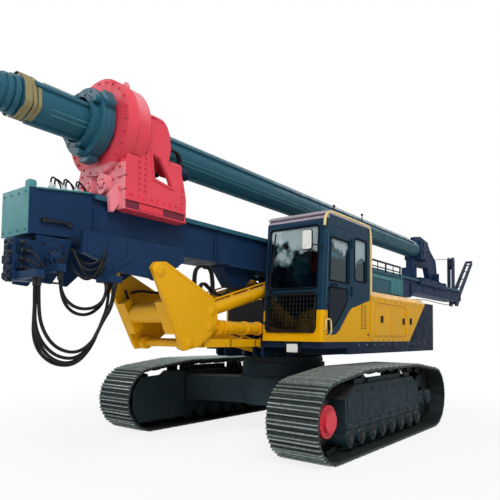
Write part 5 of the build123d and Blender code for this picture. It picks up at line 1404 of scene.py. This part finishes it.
def make_frames():
    """Roller caps, covers, guards and bolt rows on the track frames, and the idlers' rims."""
    bolts, covers, caps = [], [], []
    cap = [(0, 0.078), (0.006, 0.078), (0.01, 0.05), (0.018, 0.046)]
    rollers = in_row(-ROLLER_SPAN, ROLLER_SPAN, ROLLER_COUNT)
    for y in rollers:
        caps.append(stub(0, (ROLLER_FACE, y, ROLLER_HEIGHT), 1.85, cap, 20))
        bolts.append(bolts_at(1, 0.009, 0.007, in_circle((1.835, y, ROLLER_HEIGHT), 0.064, 4, first=0.8)))
    covers.append(slab(rect(-1.22, 0.495, 1.22, 0.765), 1.798, 1.808, bevel=0.002))
    for y in (-0.8, 0.8):
        covers.append(slab(rect(y - 0.006, 0.5, y + 0.006, 0.76), 1.807, 1.814))
    for low, high in ((-0.98, -0.73), (-0.55, 0.55), (0.73, 0.98)):
        covers.append(slab(rect(low, 0.86, high, 0.955), 1.76, 1.772, bevel=0.002))
    guard = [(1.02, 0.16), (1.98, 0.16), (2.1, 0.36), (2.1, 0.64), (1.96, 0.84), (1.02, 0.9)]
    for sign in (1, -1):
        covers.append(slab([(sign * y, z) for y, z in guard], 1.285, 1.3, bevel=0.003))
    covers += [slab([(y - 0.08, 0.345), (y + 0.08, 0.345), (y + 0.05, 0.4), (y - 0.05, 0.4)], 1.8, 1.828,
                    bevel=0.004) for y in rollers]
    covers.append(stub(0, (ROLLER_FACE, WHEEL_PLACE, AXLE_HEIGHT), 1.775,
                       [(0, 0.02), (0.004, 0.11), (0.03, 0.12), (0.05, 0.12)], 28))
    covers.append(slab([(1.29, 0.42), (1.8, 0.42), (1.86, 0.46), (1.86, 0.54), (1.8, 0.58), (1.29, 0.58)],
                       1.768, 1.782, bevel=0.004))
    bolts.append(bolts_at(1, 0.013, 0.01, [(1.782, y, z) for y in (1.36, 1.48, 1.6) for z in (0.45, 0.55)]))
    bolts.append(bolts_at(1, 0.011, 0.009, [(1.8, y, 0.8) for y in in_row(-0.95, 0.95, 9)]))
    pair("frame_covers", covers, "undercarriage", paint_frame)
    pair("roller_caps", caps, "undercarriage", steel_dark)
    pair("frame_bolts", bolts, "undercarriage", steel_dark)
    worn = belt(0.3, 0.075, 0.012, ease=0.002)
    pair("idler_rims", [stub(0, (1.676, WHEEL_PLACE, AXLE_HEIGHT), 1.688, worn, 48)], "undercarriage",
         steel_dark)


def make_carbody():
    """Hatch cover, ring seal and bolts on the carbody, and the teeth of the slewing ring."""
    shapes = [box((0.75, 1.15), (-0.62, -0.605), (0.5, 0.78), bevel=0.004)]
    shapes += [stub(2, (0, 0, 0.825), 0.85, [(0, 0.68), (0.004, 0.735), (0.02, 0.735), (0.025, 0.68)], 64)]
    piece("carbody_trim", shapes, "undercarriage", paint_frame)
    bolts = [bolts_at(3, 0.016, 0.014, in_circle((0, 0, 0.849), 0.708, 36, axis=2))]
    piece("carbody_bolts", bolts, "undercarriage", steel_dark)
    teeth = np.radians(np.arange(0, 360, 1.25))
    radius = 0.64 + 0.008 * (np.arange(len(teeth)) % 4 < 2)
    outline = np.stack([radius * np.cos(teeth), radius * np.sin(teeth)], 1)
    piece("slew_teeth", [slab(outline, 1.095, 1.15, axis=2)], "upper", steel_dark, smooth=20)


make_frames()
make_carbody()
